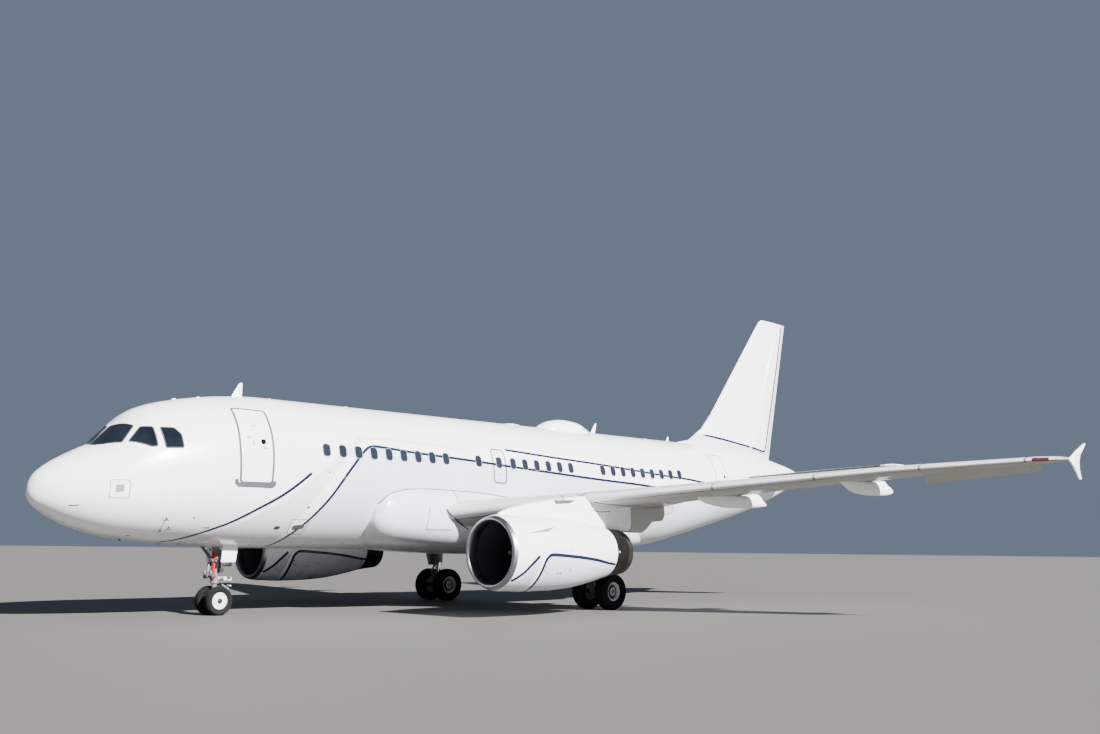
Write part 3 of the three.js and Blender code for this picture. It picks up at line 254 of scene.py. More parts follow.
# Thin red outlines round sensitive areas: corners as station and height
RED_OUTLINES = {
    "port_outline": [(1.430, 3.022), (1.430, 3.448), (1.848, 3.448), (1.848, 3.022)],
    "drain_outline": [(6.429, 2.223), (6.349, 2.592), (6.901, 2.602), (6.898, 2.215)],
}
# Seams of the belly fairing: station and height
BELLY_SEAMS = [
    [(8.98, 3.07), (9.26, 3.33), (9.7, 3.47), (10.17, 3.53), (10.77, 3.55), (11.663, 3.539)],
    [(11.663, 3.539), (12.594, 3.513), (13.056, 3.483), (13.484, 3.452), (13.966, 3.406)],
    [(11.685, 3.53), (11.672, 3.375), (11.689, 3.256), (11.774, 3.214)],
    [(10.577, 3.025), (10.507, 2.369)], [(10.507, 2.371), (11.462, 2.371)],
    [(12.9, 2.60), (12.9, 1.95)], [(17.25, 3.05), (17.25, 2.1)], [(19.0, 2.9), (19.0, 2.0)],
]
# Low bumps on the crown: x, station, half width, half length, height over the skin, finish
CROWN_BUMPS = [
    (0.0, 3.62, 0.05, 0.07, 0.030, "paint"), (0.28, 4.15, 0.04, 0.05, 0.025, "paint"),
    (0.0, 6.50, 0.035, 0.05, 0.035, "yellow"), (0.0, 9.10, 0.06, 0.10, 0.028, "paint"),
    (0.0, 15.97, 0.16, 0.42, 0.050, "paint"), (0.0, 23.1, 0.05, 0.08, 0.03, "paint"),
]

# Slats: inner and outer x of each
SLATS = [(2.16, 5.66), (5.84, 9.05), (9.12, 11.47), (11.54, 13.87), (13.94, 16.17), (16.24, 16.78)]
# Joints in the wing's skins: routes of x and share of the chord
TOP_JOINTS = [
    [(2.4, 0.70), (6.35, 0.68), (13.25, 0.70)], [(2.4, 0.80), (6.35, 0.80), (13.25, 0.82)],
    [(6.38, 0.68), (6.38, 1.0)], [(13.25, 0.70), (13.25, 0.99)], [(8.7, 0.69), (8.7, 0.81)],
    [(10.2, 0.69), (10.2, 0.81)], [(11.7, 0.70), (11.7, 0.82)], [(13.1, 0.70), (13.1, 0.82)],
    [(4.5, 0.69), (4.5, 0.80)], [(2.4, 0.155), (16.9, 0.155)],
]
UNDER_JOINTS = [
    [(6.3, 0.78), (13.25, 0.76)], [(6.38, 0.76), (6.38, 0.995)], [(2.4, 0.80), (6.3, 0.78)],
    [(6.3, 0.16), (16.3, 0.17)], [(6.3, 0.60), (13.3, 0.60), (16.3, 0.60)],
]
# Wheels' outboard faces, as shares of the tyre's half width and of the rim's radius
NOSE_DISC = [(-0.60, 1.0), (0.60, 1.0), (0.66, 0.975), (0.66, 0.91), (0.56, 0.86), (0.54, 0.62), (0.60, 0.50),
             (0.66, 0.34), (0.66, 0.25), (0.30, 0.22), (0.30, 0.0), (-0.5, 0.0), (-0.5, 0.6)]
MAIN_DISC = [(-0.60, 1.0), (0.60, 1.0), (0.66, 0.975), (0.66, 0.90), (0.54, 0.84), (0.20, 0.78), (0.18, 0.52),
             (0.26, 0.48), (0.46, 0.44), (0.50, 0.30), (0.46, 0.22), (0.50, 0.18), (0.50, 0.0), (-0.5, 0.0),
             (-0.5, 0.6)]
HUB_CAP = [(0.52, 0.0), (0.52, 0.19), (0.70, 0.17), (0.76, 0.10), (0.76, 0.0)]
# Wheels: face, rim as a share of the CAD wheel, grooves, finish, and rings of bolts and of holes, each as number,
# turn of the first, and then distance from the axle, stand, length, radius and sides of one
WHEELS = {
    "nose": (NOSE_DISC, 0.93, 3, "hub", (10, 0.0, 0.52, 0.61, 0.022, 0.04, 8),
             (8, 0.5, 0.76, 0.555, 0.006, 0.075, 14)),
    "main": (MAIN_DISC, 1.08, 4, "main_hub", (9, 0.0, 0.56, 0.20, 0.022, 0.04, 8),
             (9, 0.5, 0.36, 0.475, 0.006, 0.05, 14)),
}

# Lighting: a wide low sun from the port side and a plain sky
SUN_SIDE = (0.85, -0.02, 0.50)
SUN_STRENGTH = 20.0
SUN_WIDTH = 1.5
SKY_COLOUR = "AFC0DC"
SKY_STRENGTH = 0.36

OUTLET = {"rim": 0.075, "depth": 0.5, "fall": 0.03}  # power unit's outlet in the end of the tail cone
WINDOW_CORNER = 0.115
WINDOW_RIM = 0.014
COVER = (math.radians(-160), math.radians(-18))  # round the nose leg, from the port side
WIPER = [(1.345, 0.10), (1.37, 0.28), (1.40, 0.42)]
# Probes: station, height and reach ahead of their masts
PROBES = [("pitot_upper", 2.874, 2.571, 0.14), ("pitot_lower", 3.05, 2.36, 0.11)]
# Blade drains and antennas under the keel: station, length, drop
KEEL_DRAINS = [(2.30, 0.09, 0.05), (24.6, 0.12, 0.07)]

# Wing details: x of the gaps between slats, and places as x and station or height
SLAT_GAPS = [5.75, 9.085, 11.505, 13.905, 16.205]
TIP_LAMP = (16.36, 16.70)
UNDER_CURVE = [(5.935, 12.93), (6.037, 13.246), (6.265, 13.95), (6.181, 15.239)]
LEG_WELL = [(2.35, 15.72), (4.30, 15.72), (4.30, 16.42), (2.35, 16.42)]
ROOT_SEAL = [(2.207, 11.202, 2.978), (2.273, 11.243, 2.877), (2.345, 11.338, 2.777), (2.309, 11.567, 2.636),
             (2.208, 11.857, 2.510), (2.172, 12.091, 2.396)]
WICKS = [16.28, 16.50, 16.72]
TAIL_WICKS = [6.02, 6.14]
PYLON_OUTLET = [(11.88, 3.067), (11.84, 3.165), (12.68, 3.195), (12.45, 3.105)]
PYLON_SEAM = [(13.327, 3.06), (13.40, 2.97), (13.593, 2.901), (13.85, 2.90), (14.182, 2.926)]

# Camera: place, heading and pitch in degrees, roll, and focal length in picture widths
CAMERA_PLACE = (28.047, -28.268, 1.781)
CAMERA_YAW = -43.899
CAMERA_PITCH = 8.962
CAMERA_ROLL = 0.606
FOCAL_SHARE = 1162.2 / 1100
SENSOR = 36.0


# Curves and tables

def blend(t, start, end, leaving, arriving):
    """A smooth way from a start to an end, with the slopes there."""
    return ((2 * t ** 3 - 3 * t ** 2 + 1) * start + (t ** 3 - 2 * t ** 2 + t) * leaving
            + (3 * t ** 2 - 2 * t ** 3) * end + (t ** 3 - t ** 2) * arriving)


def eased(table, value):
    """A row of a table between its rows, on smooth curves that never overshoot them."""
    keys = [row[0] for row in table]
    last = len(table) - 1
    index = min(max(bisect_right(keys, value) - 1, 0), last - 1)
    low, high = table[index], table[index + 1]
    step = high[0] - low[0]
    t = min(max((value - low[0]) / step, 0.0), 1.0)

    def slope(row, column):
        if row in (0, last):
            near = (table[row], table[row + 1]) if row == 0 else (table[row - 1], table[row])
            return (near[1][column] - near[0][column]) / (near[1][0] - near[0][0])
        before = (table[row][column] - table[row - 1][column]) / (table[row][0] - table[row - 1][0])
        after = (table[row + 1][column] - table[row][column]) / (table[row + 1][0] - table[row][0])
        return 0.0 if before * after <= 0 else 2 * before * after / (before + after)

    return tuple(blend(t, low[column], high[column], slope(index, column) * step, slope(index + 1, column) * step)
                 for column in range(1, len(low)))


def straight(table, value):
    """A row of a table between its rows, on straight lines."""
    keys = [row[0] for row in table]
    index = min(max(bisect_right(keys, value) - 1, 0), len(table) - 2)
    low, high = table[index], table[index + 1]
    t = (value - low[0]) / (high[0] - low[0])
    return tuple(a + t * (b - a) for a, b in zip(low[1:], high[1:]))


def curve_through(points, step):
    """A smooth open route through points, with a point about every step."""
    route = []
    count = len(points)
    for i in range(count - 1):
        before = Vector(points[max(i - 1, 0)])
        start, end = Vector(points[i]), Vector(points[i + 1])
        after = Vector(points[min(i + 2, count - 1)])
        pieces = max(1, math.ceil((end - start).length / step))
        reach = (end - start).length
        lean_in = (end - before).normalized() * reach
        lean_out = (after - start).normalized() * reach
        route += [blend(j / pieces, start, end, lean_in, lean_out) for j in range(pieces)]
    route.append(Vector(points[-1]))
    return route


def rounded(corners, radius, steps=6):
    """A closed route through corners that are rounded to a radius."""
    route = []
    count = len(corners)
    for i, corner in enumerate(corners):
        here = Vector(corner)
        back = (Vector(corners[i - 1]) - here).normalized() * radius
        ahead = (Vector(corners[(i + 1) % count]) - here).normalized() * radius
        for j in range(steps + 1):
            t = j / steps
            route.append((1 - t) ** 2 * (here + back) + 2 * t * (1 - t) * here + t ** 2 * (here + ahead))
    return route


def dense(route, step, closed=True):
    """A route with more points along its straight stretches."""
    points = []
    count = len(route)
    for i in range(count if closed else count - 1):
        start, end = route[i], route[(i + 1) % count]
        pieces = max(1, math.ceil((end - start).length / step))
        points += [start.lerp(end, j / pieces) for j in range(pieces)]
    return points if closed else points + [route[-1]]


def spread(start, end, count):
    return [start + (end - start) * i / (count - 1) for i in range(count)]


# Surfaces: each takes two places on it and a height above it, and gives a point on the port side

BODY_BY_ROOT = [(math.sqrt(row[0]), *row[1:]) for row in BODY]  # the nose is round in this measure


@lru_cache(maxsize=None)
def section(station):
    return eased(BODY_BY_ROOT, math.sqrt(max(station, 0.0)))


def arc_at(station, above):
    """Half width, height of the widest point, half the straight side, and reach of the upper or lower arc."""
    width, top, bottom, widest = section(round(station, 4))
    flat = FLAT_SHARE * width
    return width, widest, flat, (top - widest if above else widest - bottom) - flat


def body_skin(station, girth):
    """A place on the body: station, and metres round it above its widest point."""
    width, widest, flat, reach = arc_at(station, girth > 0)
    if abs(girth) <= flat:
        return Vector((width, station, widest + girth))
    angle = min((abs(girth) - flat) / ((reach + width) / 2), math.pi / 2)
    way = 1 if girth > 0 else -1
    return Vector((width * math.cos(angle), station, widest + way * (flat + reach * math.sin(angle))))


def girth_at(station, height):
    """The place along the girth of a point of the side, from its height."""
    rise = height - section(round(station, 4))[3]
    width, widest, flat, reach = arc_at(station, rise > 0)
    if abs(rise) <= flat:
        return rise
    angle = math.asin(min((abs(rise) - flat) / reach, 1.0))
    return (1 if rise > 0 else -1) * (flat + angle * (reach + width) / 2)


def unrolled(points):
    """Places as station and girth, from station and height."""
    return [(station, girth_at(station, height)) for station, height in points]


def power(value, exponent):
    return math.copysign(abs(value) ** exponent, value)


def girth_over(station, x):
    """The place along the girth of a point of the crown, from its x."""
    width, _, flat, reach = arc_at(station, True)
    return flat + math.acos(min(x / width, 1.0)) * (reach + width) / 2


def hull_skin(station, height):
    """A place on the side of the belly fairing, or of the body where that stands further out."""
    width, bottom, top = eased(BELLY, station)
    rise = min(abs(2 * (height - bottom) / (top - bottom) - 1), 0.999)
    out = width * (1 - rise ** BELLY_POWER) ** (1 / BELLY_POWER)
    body = body_skin(station, girth_at(station, height)).x
    return Vector((max(out, body), station, height))


def half_thickness(share):
    """Half thickness of a wing section of unit chord and unit thickness, at a share of the chord."""
    blunt = 1.4845 * math.sqrt(share)
    rest = share * (-0.63 + share * (-1.758 + share * (1.4215 - 0.5075 * share)))
    return max(blunt + rest, 0.012)


def wing_place(x, share, way):
    """A place on the wing: x, share of the chord, and 1 for above or -1 for below."""
    lead, lead_height, trail, trail_height, thickness = straight(WING, x)
    chord = trail - lead
    height = lead_height + share * (trail_height - lead_height) + 4 * CAMBER * chord * share * (1 - share)
    return Vector((x, lead + share * chord, height + way * half_thickness(share) * thickness * chord))


def tail_place(x, share, way):
    lead, trail, thickness = straight(TAILPLANE, x)
    chord = trail - lead
    return Vector((x, lead + share * chord, TAIL_HEIGHT + TAIL_RISE * x
                   + way * half_thickness(share) * thickness * chord))


def fin_skin(station, height):
    lead, trail, thickness = straight(FIN, height)
    share = min(max((station - lead) / (trail - lead), 0.0), 1.0)
    return Vector((half_thickness(share) * thickness * (trail - lead), station, height))


def cowl_radius(station):
    """The outer radius of the lip and cowl."""
    if station >= COWL[0][0]:
        return eased(COWL, station)[0]
    share = max(1 - (station - LIP["front"]) / LIP["reach"], 0.0)
    power_of = LIP["roundness"]
    return LIP["radius"] + LIP["swell"] * (1 - share ** power_of) ** (1 / power_of)


def throat_radius(station):
    """The inner radius of the lip."""
    share = max(1 - (station - LIP["front"]) / (LIP["inner_rear"] - LIP["front"]), 0.0)
    return LIP["radius"] - LIP["throat"] * math.sqrt(1 - share * share)


def engine_place(radius, station, arc):
    """A place round the port engine: arc is metres round the cowl above its outboard side."""
    angle = arc / COWL_WIDEST
    return Vector((ENGINE_X + radius * math.cos(angle), station, ENGINE_HEIGHT + radius * math.sin(angle)))


def cowl_skin(station, arc):
    return engine_place(cowl_radius(station), station, arc)


def nozzle_skin(station, arc):
    return engine_place(eased(NOZZLE, station)[0], station, arc)


# Modelling helpers

def alone(obj):
    bpy.ops.object.select_all(action="DESELECT")
    obj.select_set(True)
    bpy.context.view_layer.objects.active = obj


@contextmanager
def editing(obj, chosen=None):
    """Edit mode on one object, with the vertices chosen by their place selected, or all of them."""
    alone(obj)
    bpy.ops.object.mode_set(mode="EDIT")
    bpy.ops.mesh.select_mode(type="VERT")
    bpy.ops.mesh.select_all(action="SELECT" if chosen is None else "DESELECT")
    mesh = bmesh.from_edit_mesh(obj.data)
    if chosen is not None:
        choose(obj, mesh, chosen)
    yield mesh
    bpy.ops.object.mode_set(mode="OBJECT")


def choose(obj, mesh, chosen):
    """Selects the vertices whose place passes a test, with the edges and faces between them."""
    for vertex in mesh.verts:
        vertex.select_set(chosen(vertex.co))
    mesh.select_flush(True)
    bmesh.update_edit_mesh(obj.data)


def use_modifier(obj, kind, **settings):
    """Adds a modifier and applies it."""
    alone(obj)
    modifier = obj.modifiers.new(kind.title(), kind)
    for name, value in settings.items():
        setattr(modifier, name, value)
    bpy.ops.object.modifier_apply(modifier=modifier.name)


def linked(name, data):
    """A new object in the scene."""
    obj = bpy.data.objects.new(name, data)
    bpy.context.collection.objects.link(obj)
    return obj


def drawn(name, places, edges, faces):
    data = bpy.data.meshes.new(name)
    data.from_pydata(places, edges, faces)
    return linked(name, data)


def outline(name, points, closed=True):
    """An edge loop drawn through points, ready to be extruded or spun."""
    edges = [(i, i + 1) for i in range(len(points) - 1)]
    if closed:
        edges.append((len(points) - 1, 0))
    return drawn(name, [tuple(p) for p in points], edges, [])


def raise_outline(offset):
    """Fills the outline in edit mode and extrudes it."""
    bpy.ops.mesh.edge_face_add()
    bpy.ops.mesh.select_all(action="SELECT")
    bpy.ops.mesh.extrude_region_move(TRANSFORM_OT_translate={"value": offset})


def turn_out():
    """Turns all faces in edit mode out."""
    bpy.ops.mesh.select_all(action="SELECT")
    bpy.ops.mesh.normals_make_consistent(inside=False)


def close_up(obj, merge=1e-5):
    """Merges doubles and turns all faces out."""
    with editing(obj):
        bpy.ops.mesh.remove_doubles(threshold=merge)
        turn_out()


def loft(name, rings):
    """A closed skin: the first ring is drawn, and each next one is extruded and brought to its section."""
    obj = outline(name, rings[0])
    count = len(rings[0])
    with editing(obj):
        bpy.ops.mesh.edge_face_add()
        bpy.ops.mesh.select_all(action="SELECT")
        known = list(range(count))
        for i, ring in enumerate(rings[1:]):
            bpy.ops.mesh.extrude_edges_move() if i == 0 else bpy.ops.mesh.extrude_region_move()
            mesh = bmesh.from_edit_mesh(obj.data)
            mesh.verts.ensure_lookup_table()
            mesh.verts.index_update()
            start = count * (i + 1)
            places = {index: place for place, index in enumerate(known)}
            order = [0] * count
            for vertex in mesh.verts[start:start + count]:
                near = next(edge.other_vert(vertex).index for edge in vertex.link_edges
                            if edge.other_vert(vertex).index in places)
                order[places[near]] = vertex.index
            for place, index in enumerate(order):
                mesh.verts[index].co = ring[place]
            known = order
            bmesh.update_edit_mesh(obj.data)
        bpy.ops.mesh.edge_face_add()
        turn_out()
    return obj


def spun(name, profile, centre, axis="Y", steps=96, closed=True):
    """A profile spun about an axis: pairs of place along the axis and radius."""
    index = "XYZ".index(axis)
    points = []
    for along, radius in profile:
        point = [centre[0], centre[1], centre[2]]
        point[index] = along
        point[0 if axis == "Z" else 2] += radius
        points.append(point)
    direction = [0, 0, 0]
    direction[index] = 1
    obj = outline(name, points, closed)
    with editing(obj):
        bpy.ops.mesh.spin(steps=steps, angle=2 * math.pi, center=centre, axis=direction)
    close_up(obj)
    return obj


def settled(name, scale=(1, 1, 1)):
    """The primitive just added, named, with its place, turn and scale applied."""
    obj = bpy.context.object
    obj.name = name
    obj.scale = scale
    bpy.ops.object.transform_apply(location=True, rotation=True, scale=True)
    return obj


def rod(name, start, end, radius, vertices=20, end_radius=None):
    """A round bar between two points, with softened ends."""
    start, end = Vector(start), Vector(end)
    along = end - start
    bpy.ops.mesh.primitive_cone_add(
        vertices=vertices, radius1=radius, radius2=radius if end_radius is None else end_radius,
        depth=along.length, location=(start + end) / 2, rotation=along.to_track_quat("Z", "Y").to_euler())
    obj = settled(name)
    use_modifier(obj, "BEVEL", width=min(radius * 0.12, 0.006), segments=2, angle_limit=math.radians(50))
    return obj


def block(name, low, high, bevel=0.004):
    """A box between two corners, with softened edges."""
    low, high = Vector(low), Vector(high)
    bpy.ops.mesh.primitive_cube_add(size=1, location=(low + high) / 2)
    obj = settled(name, [abs(v) for v in (high - low)])
    use_modifier(obj, "BEVEL", width=bevel, segments=2)
    return obj


def gridded(obj, step):
    """Cuts a flat piece into cells, so that it can follow a curved skin."""
    low, high = ([pick(v.co[k] for v in obj.data.vertices) for k in (0, 1)] for pick in (min, max))
    with editing(obj):
        for k in (0, 1):
            count = math.ceil((high[k] - low[k]) / step)
            for i in range(1, count):
                place, normal = [0, 0, 0], [0, 0, 0]
                place[k], normal[k] = low[k] + (high[k] - low[k]) * i / count, 1
                bpy.ops.mesh.select_all(action="SELECT")
                bpy.ops.mesh.bisect(plane_co=place, plane_no=normal)
    return obj


def plate(name, corners, radius, thickness, lift=0.0):
    """A flat plate drawn on a surface: a rounded outline, raised by its thickness."""
    obj = outline(name, [(p.x, p.y, lift) for p in rounded(corners, radius)])
    with editing(obj):
        raise_outline((0, 0, thickness))
        turn_out()
    return gridded(obj, 0.06)


def ribbon(name, route, width, closed=False, thickness=0.002):
    """A thin band of constant width along a flat route. Its two edges follow the route's turns."""
    count = len(route)
    one, other = [], []
    for i, here in enumerate(route):
        before = route[i - 1] if closed or i else here
        after = route[(i + 1) % count] if closed or i + 1 < count else here
        along = (after - before).normalized()
        across = Vector((-along.y, along.x)) * width / 2
        one.append(here + across)
        other.append(here - across)
    return strip(name, one, other, closed, thickness)


def strip(name, one, other, closed=False, thickness=0.002):
    """A thin sheet between two flat routes with the same number of points."""
    count = len(one)
    places, faces = [], []
    for a, b in zip(one, other):
        for point, lift in ((a, 0.0), (a, thickness), (b, thickness), (b, 0.0)):
            places.append((point.x, point.y, lift))
    for i in range(count if closed else count - 1):
        a, b = 4 * i, 4 * ((i + 1) % count)
        for j in range(4):
            k = (j + 1) % 4
            faces.append((a + j, a + k, b + k, b + j))
    if not closed:
        end = 4 * (count - 1)
        faces += [(0, 1, 2, 3), (end + 3, end + 2, end + 1, end)]
    return drawn(name, places, [], faces)


def lay(obj, surface, side=1, mirror=None):
    """Wraps a piece that was drawn flat onto a surface: x and y are places on it, z is the height above it."""
    reach = 0.01
    for vertex in obj.data.vertices:
        u, v, lift = vertex.co
        along = surface(u + reach, v) - surface(u - reach, v)
        across = surface(u, v + reach) - surface(u, v - reach)
        point = surface(u, v) + lift * along.cross(across).normalized()
        x = point.x if mirror is None else 2 * mirror - point.x
        vertex.co = (side * x, point.y, point.z)
    close_up(obj)
    return obj


def piping(name, places, radius):
    """A rigid pipe along a smooth route, with closed ends."""
    curve = bpy.data.curves.new(name, "CURVE")
    curve.dimensions = "3D"
    curve.bevel_depth = radius
    curve.bevel_resolution = 2
    curve.resolution_u = 6
    curve.use_fill_caps = True
    spline = curve.splines.new("BEZIER")
    spline.bezier_points.add(len(places) - 1)
    for point, place in zip(spline.bezier_points, places):
        point.co = place
        point.handle_left_type = point.handle_right_type = "AUTO"
    obj = linked(name, curve)
    alone(obj)
    bpy.ops.object.convert(target="MESH")
    close_up(obj)
    return obj


def resampled(points, count):
    """A smooth route through points, with so many points at even distances."""
    route = curve_through(points, 0.02)
    lengths = [0.0]
    for a, b in zip(route, route[1:]):
        lengths.append(lengths[-1] + (b - a).length)
    places = []
    for i in range(count):
        goal = lengths[-1] * i / (count - 1)
        j = min(max(bisect_right(lengths, goal) - 1, 0), len(route) - 2)
        span = max(lengths[j + 1] - lengths[j], 1e-9)
        places.append(route[j].lerp(route[j + 1], (goal - lengths[j]) / span))
    return places


def joined(name, parts):
    """Several objects as one."""
    bpy.ops.object.select_all(action="DESELECT")
    for part in parts:
        part.select_set(True)
    bpy.context.view_layer.objects.active = parts[0]
    if len(parts) > 1:
        bpy.ops.object.join()
    parts[0].name = name
    parts[0].data.name = name
    return parts[0]


def copied(obj, name, matrix=None):
    """A copy with its own mesh."""
    twin = obj.copy()
    twin.data = obj.data.copy()
    twin.name = name
    bpy.context.collection.objects.link(twin)
    if matrix is not None:
        twin.data.transform(matrix)
    return twin


def refined(node, name, bevel=0.0, soft=35):
    """A merged copy of a CAD node, with flat faces joined up and its edges softened."""
    obj = linked(name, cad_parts[node].data.copy())
    obj.data.materials.clear()
    with editing(obj):
        bpy.ops.mesh.remove_doubles(threshold=1e-4)
        bpy.ops.mesh.select_all(action="SELECT")
        bpy.ops.mesh.dissolve_limited(angle_limit=math.radians(1.0))
    if bevel:
        use_modifier(obj, "BEVEL", width=bevel, segments=2, angle_limit=math.radians(soft), harden_normals=False)
    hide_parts(node)
    return obj


def finish_piece(obj, material, body="root", place=True, angle=38):
    """Stands an airframe piece in its place, gives it its finish, smooths it and puts it on its body."""
    if place:
        obj.data.transform(AIRFRAME)
    if material is not None:
        obj.data.materials.clear()
        obj.data.materials.append(finish(material))
    alone(obj)
    bpy.ops.object.shade_smooth_by_angle(angle=math.radians(angle))
    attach(obj, body)
    return obj


def two_finishes(obj, first, second, test):
    """Gives a piece two finishes, the second one on the faces that pass a test."""
    obj.data.materials.clear()
    for name in (first, second):
        obj.data.materials.append(finish(name))
    for face in obj.data.polygons:
        face.material_index = int(bool(test(face)))


# More places and pieces of the engines and wings

def cowl_place(station, angle):
    """A place for cowl_skin, from a station and degrees above the outboard side."""
    return Vector((station, math.radians(angle) * COWL_WIDEST))


def pylon_skin(station, height):
    """A place on the pylon's outboard side: station and height."""
    width, bottom, top = eased(PYLON, station)
    rise = min(abs(2 * (height - bottom) / (top - bottom) - 1), 0.98)
    return Vector((ENGINE_X + width * (1 - rise ** 4) ** 0.25, station, height))


def reach_at(x, share):
    """Metres behind the wing's leading edge, from a share of the chord."""
    lead, _, trail, _, _ = straight(WING, x)
    return share * (trail - lead)


def wing_over(x, reach, way=1):
    """A place on the wing's upper skin: x, and metres behind the leading edge."""
    return wing_place(x, min(max(reach / reach_at(x, 1.0), 0.0), 1.0), way)


def wing_under(reach, x):
    """A place on the wing's lower skin, in the other order, so that its outside is below."""
    return wing_over(x, reach, -1)


def strake(name, side):
    """A thin fin on the cowl's shoulder, raked aft."""
    root_front = cowl_skin(*cowl_place(*STRAKE["front"]))
    root_rear = cowl_skin(*cowl_place(*STRAKE["rear"]))
    angle = math.radians(STRAKE["rear"][1])
    out = Vector((math.cos(angle), 0, math.sin(angle)))
    across = Vector((-math.sin(angle), 0, math.cos(angle)))
    tip = root_rear + out * STRAKE["height"] + Vector((0, STRAKE["sweep"], 0))
    middle = root_front.lerp(tip, 0.55) + out * 0.03
    sunk = out * 0.03
    corners = [root_front - sunk, root_front + out * 0.01, middle, tip, root_rear - sunk]
    obj = outline(name, [p - across * STRAKE["thickness"] / 2 for p in corners])
    with editing(obj):
        raise_outline(across * STRAKE["thickness"])
    if side < 0:
        obj.data.transform(MIRROR)
    close_up(obj)
    use_modifier(obj, "BEVEL", width=0.004, segments=2, angle_limit=math.radians(40))
    return obj


# Materials

def linear(code):
    """An sRGB hex colour as linear red, green, blue and alpha."""
    channels = [int(code[i:i + 2], 16) / 255 for i in (0, 2, 4)]
    return tuple(c / 12.92 if c <= 0.04045 else ((c + 0.055) / 1.055) ** 2.4 for c in channels) + (1.0,)


def add_node(tree, kind, inputs=None, **settings):
    """A shader node with its settings, its input values and its links."""
    node = tree.nodes.new("ShaderNode" + kind)
    for name, value in settings.items():
        setattr(node, name, value)
    for name, value in (inputs or {}).items():
        if isinstance(value, bpy.types.NodeSocket):
            tree.links.new(value, node.inputs[name])
        else:
            node.inputs[name].default_value = value
    return node


def new_surface(name, colour, roughness, metallic, sockets):
    """A material that starts from the values of its real finish, and its tree and shader."""
    material = bpy.data.materials.new(name)
    material.use_nodes = True
    material.diffuse_color = colour
    tree = material.node_tree
    shader = tree.nodes["Principled BSDF"]
    for socket, value in {"Base Color": colour, "Roughness": roughness, "Metallic": metallic, **sockets}.items():
        shader.inputs[socket].default_value = value
    return material, tree, shader


def level_places(tree):
    """Airframe places of the shaded point: x, station and height."""
    back = AIRFRAME.inverted()
    mapping = add_node(tree, "Mapping", {"Vector": ground_places(tree), "Location": back.to_translation(),
                                         "Rotation": back.to_euler()})
    return mapping.outputs["Vector"]


def ground_places(tree):
    """Places of the shaded point over the ground."""
    return add_node(tree, "TexCoord").outputs["Object"]


def paint_over(tree, shader, mask, colour):
    """Lays a colour over the base colour where a mask says so."""
    base = shader.inputs["Base Color"]
    first = base.links[0].from_socket if base.is_linked else base.default_value[:]
    mixed = add_node(tree, "Mix", {0: mask, 6: first, 7: colour}, data_type="RGBA")
    tree.links.new(mixed.outputs[2], base)


def cloudy(tree, places, scale, detail=5.0):
    return add_node(tree, "TexNoise", {"Vector": places, "Scale": scale, "Detail": detail}).outputs["Fac"]


def between(tree, value, start, end, low=0.0, high=1.0):
    """A value's share of the way from a start to an end, as a number between low and high."""
    return add_node(tree, "MapRange", {"Value": value, "From Min": start, "From Max": end, "To Min": low,
                                       "To Max": high}).outputs[0]


def worked(tree, operation, first, *second):
    return add_node(tree, "Math", dict(enumerate((first, *second))), operation=operation).outputs[0]


def vary(tree, shader, places, scale, amount, code, stretch=(1, 1, 1)):
    """Lets a colour drift between itself and a second one, by cloudy noise of a real size."""
    mapping = add_node(tree, "Mapping", {"Vector": places, "Scale": stretch})
    paint_over(tree, shader, between(tree, cloudy(tree, mapping.outputs[0], scale), 0.35, 0.75, 0.0, amount),
               linear(code))


def roughen(tree, shader, places, scale, low, high):
    """Uneven gloss between two roughnesses."""
    tree.links.new(between(tree, cloudy(tree, places, scale, 4.0), 0.3, 0.7, low, high), shader.inputs["Roughness"])


def emboss(tree, shader, height, distance, strength=1.0):
    bump = add_node(tree, "Bump", {"Height": height, "Distance": distance, "Strength": strength})
    tree.links.new(bump.outputs[0], shader.inputs["Normal"])


def over_route(tree, along, across, route, low, high):
    """How far a place is above a route, read from a curve: route gives pairs of along and across."""
    start, end = route[0][0], route[-1][0]
    curve = add_node(tree, "FloatCurve", {"Value": between(tree, along, start, end)})
    points = curve.mapping.curves[0].points
    scaled = [((a - start) / (end - start), (b - low) / (high - low)) for a, b in route]
    points[0].location, points[1].location = scaled[0], scaled[-1]
    for place in scaled[1:-1]:
        points.new(*place)
    for point in points:
        point.handle_type = "AUTO_CLAMPED"
    curve.mapping.update()
    return worked(tree, "SUBTRACT", across, between(tree, curve.outputs[0], 0.0, 1.0, low, high))


def crisp(tree, distance, way=1, edge=0.012, start=0.0):
    """1 above an edge and 0 below it, or the other way round, over a width of paint."""
    return between(tree, distance, start - way * edge, start + way * edge)


def shared(tree, mask, *others):
    """Where all of several masks hold."""
    for other in others:
        mask = worked(tree, "MULTIPLY", mask, other)
    return mask


def topcoat(name, colours, marks=None):
    """Glossy polyurethane topcoat, sprayed: a deep even gloss, with fine orange peel that is drawn coarse enough to
    show and a little road film."""
    material, tree, shader = new_surface(name, colours.paint, 0.30, 0.0,
                                         {"Coat Weight": 0.35, "Coat Roughness": 0.08})
    places = level_places(tree)
    if marks:
        parts = add_node(tree, "SeparateXYZ", {"Vector": places}).outputs
        marks(tree, shader, places, parts["X"], parts["Y"], parts["Z"], colours)
    vary(tree, shader, places, 0.35, 0.25, "E9EAEC", (1, 0.4, 1))
    roughen(tree, shader, places, 2.5, 0.24, 0.36)
    emboss(tree, shader, cloudy(tree, places, 60.0, 2.0), 0.0004)
    return material


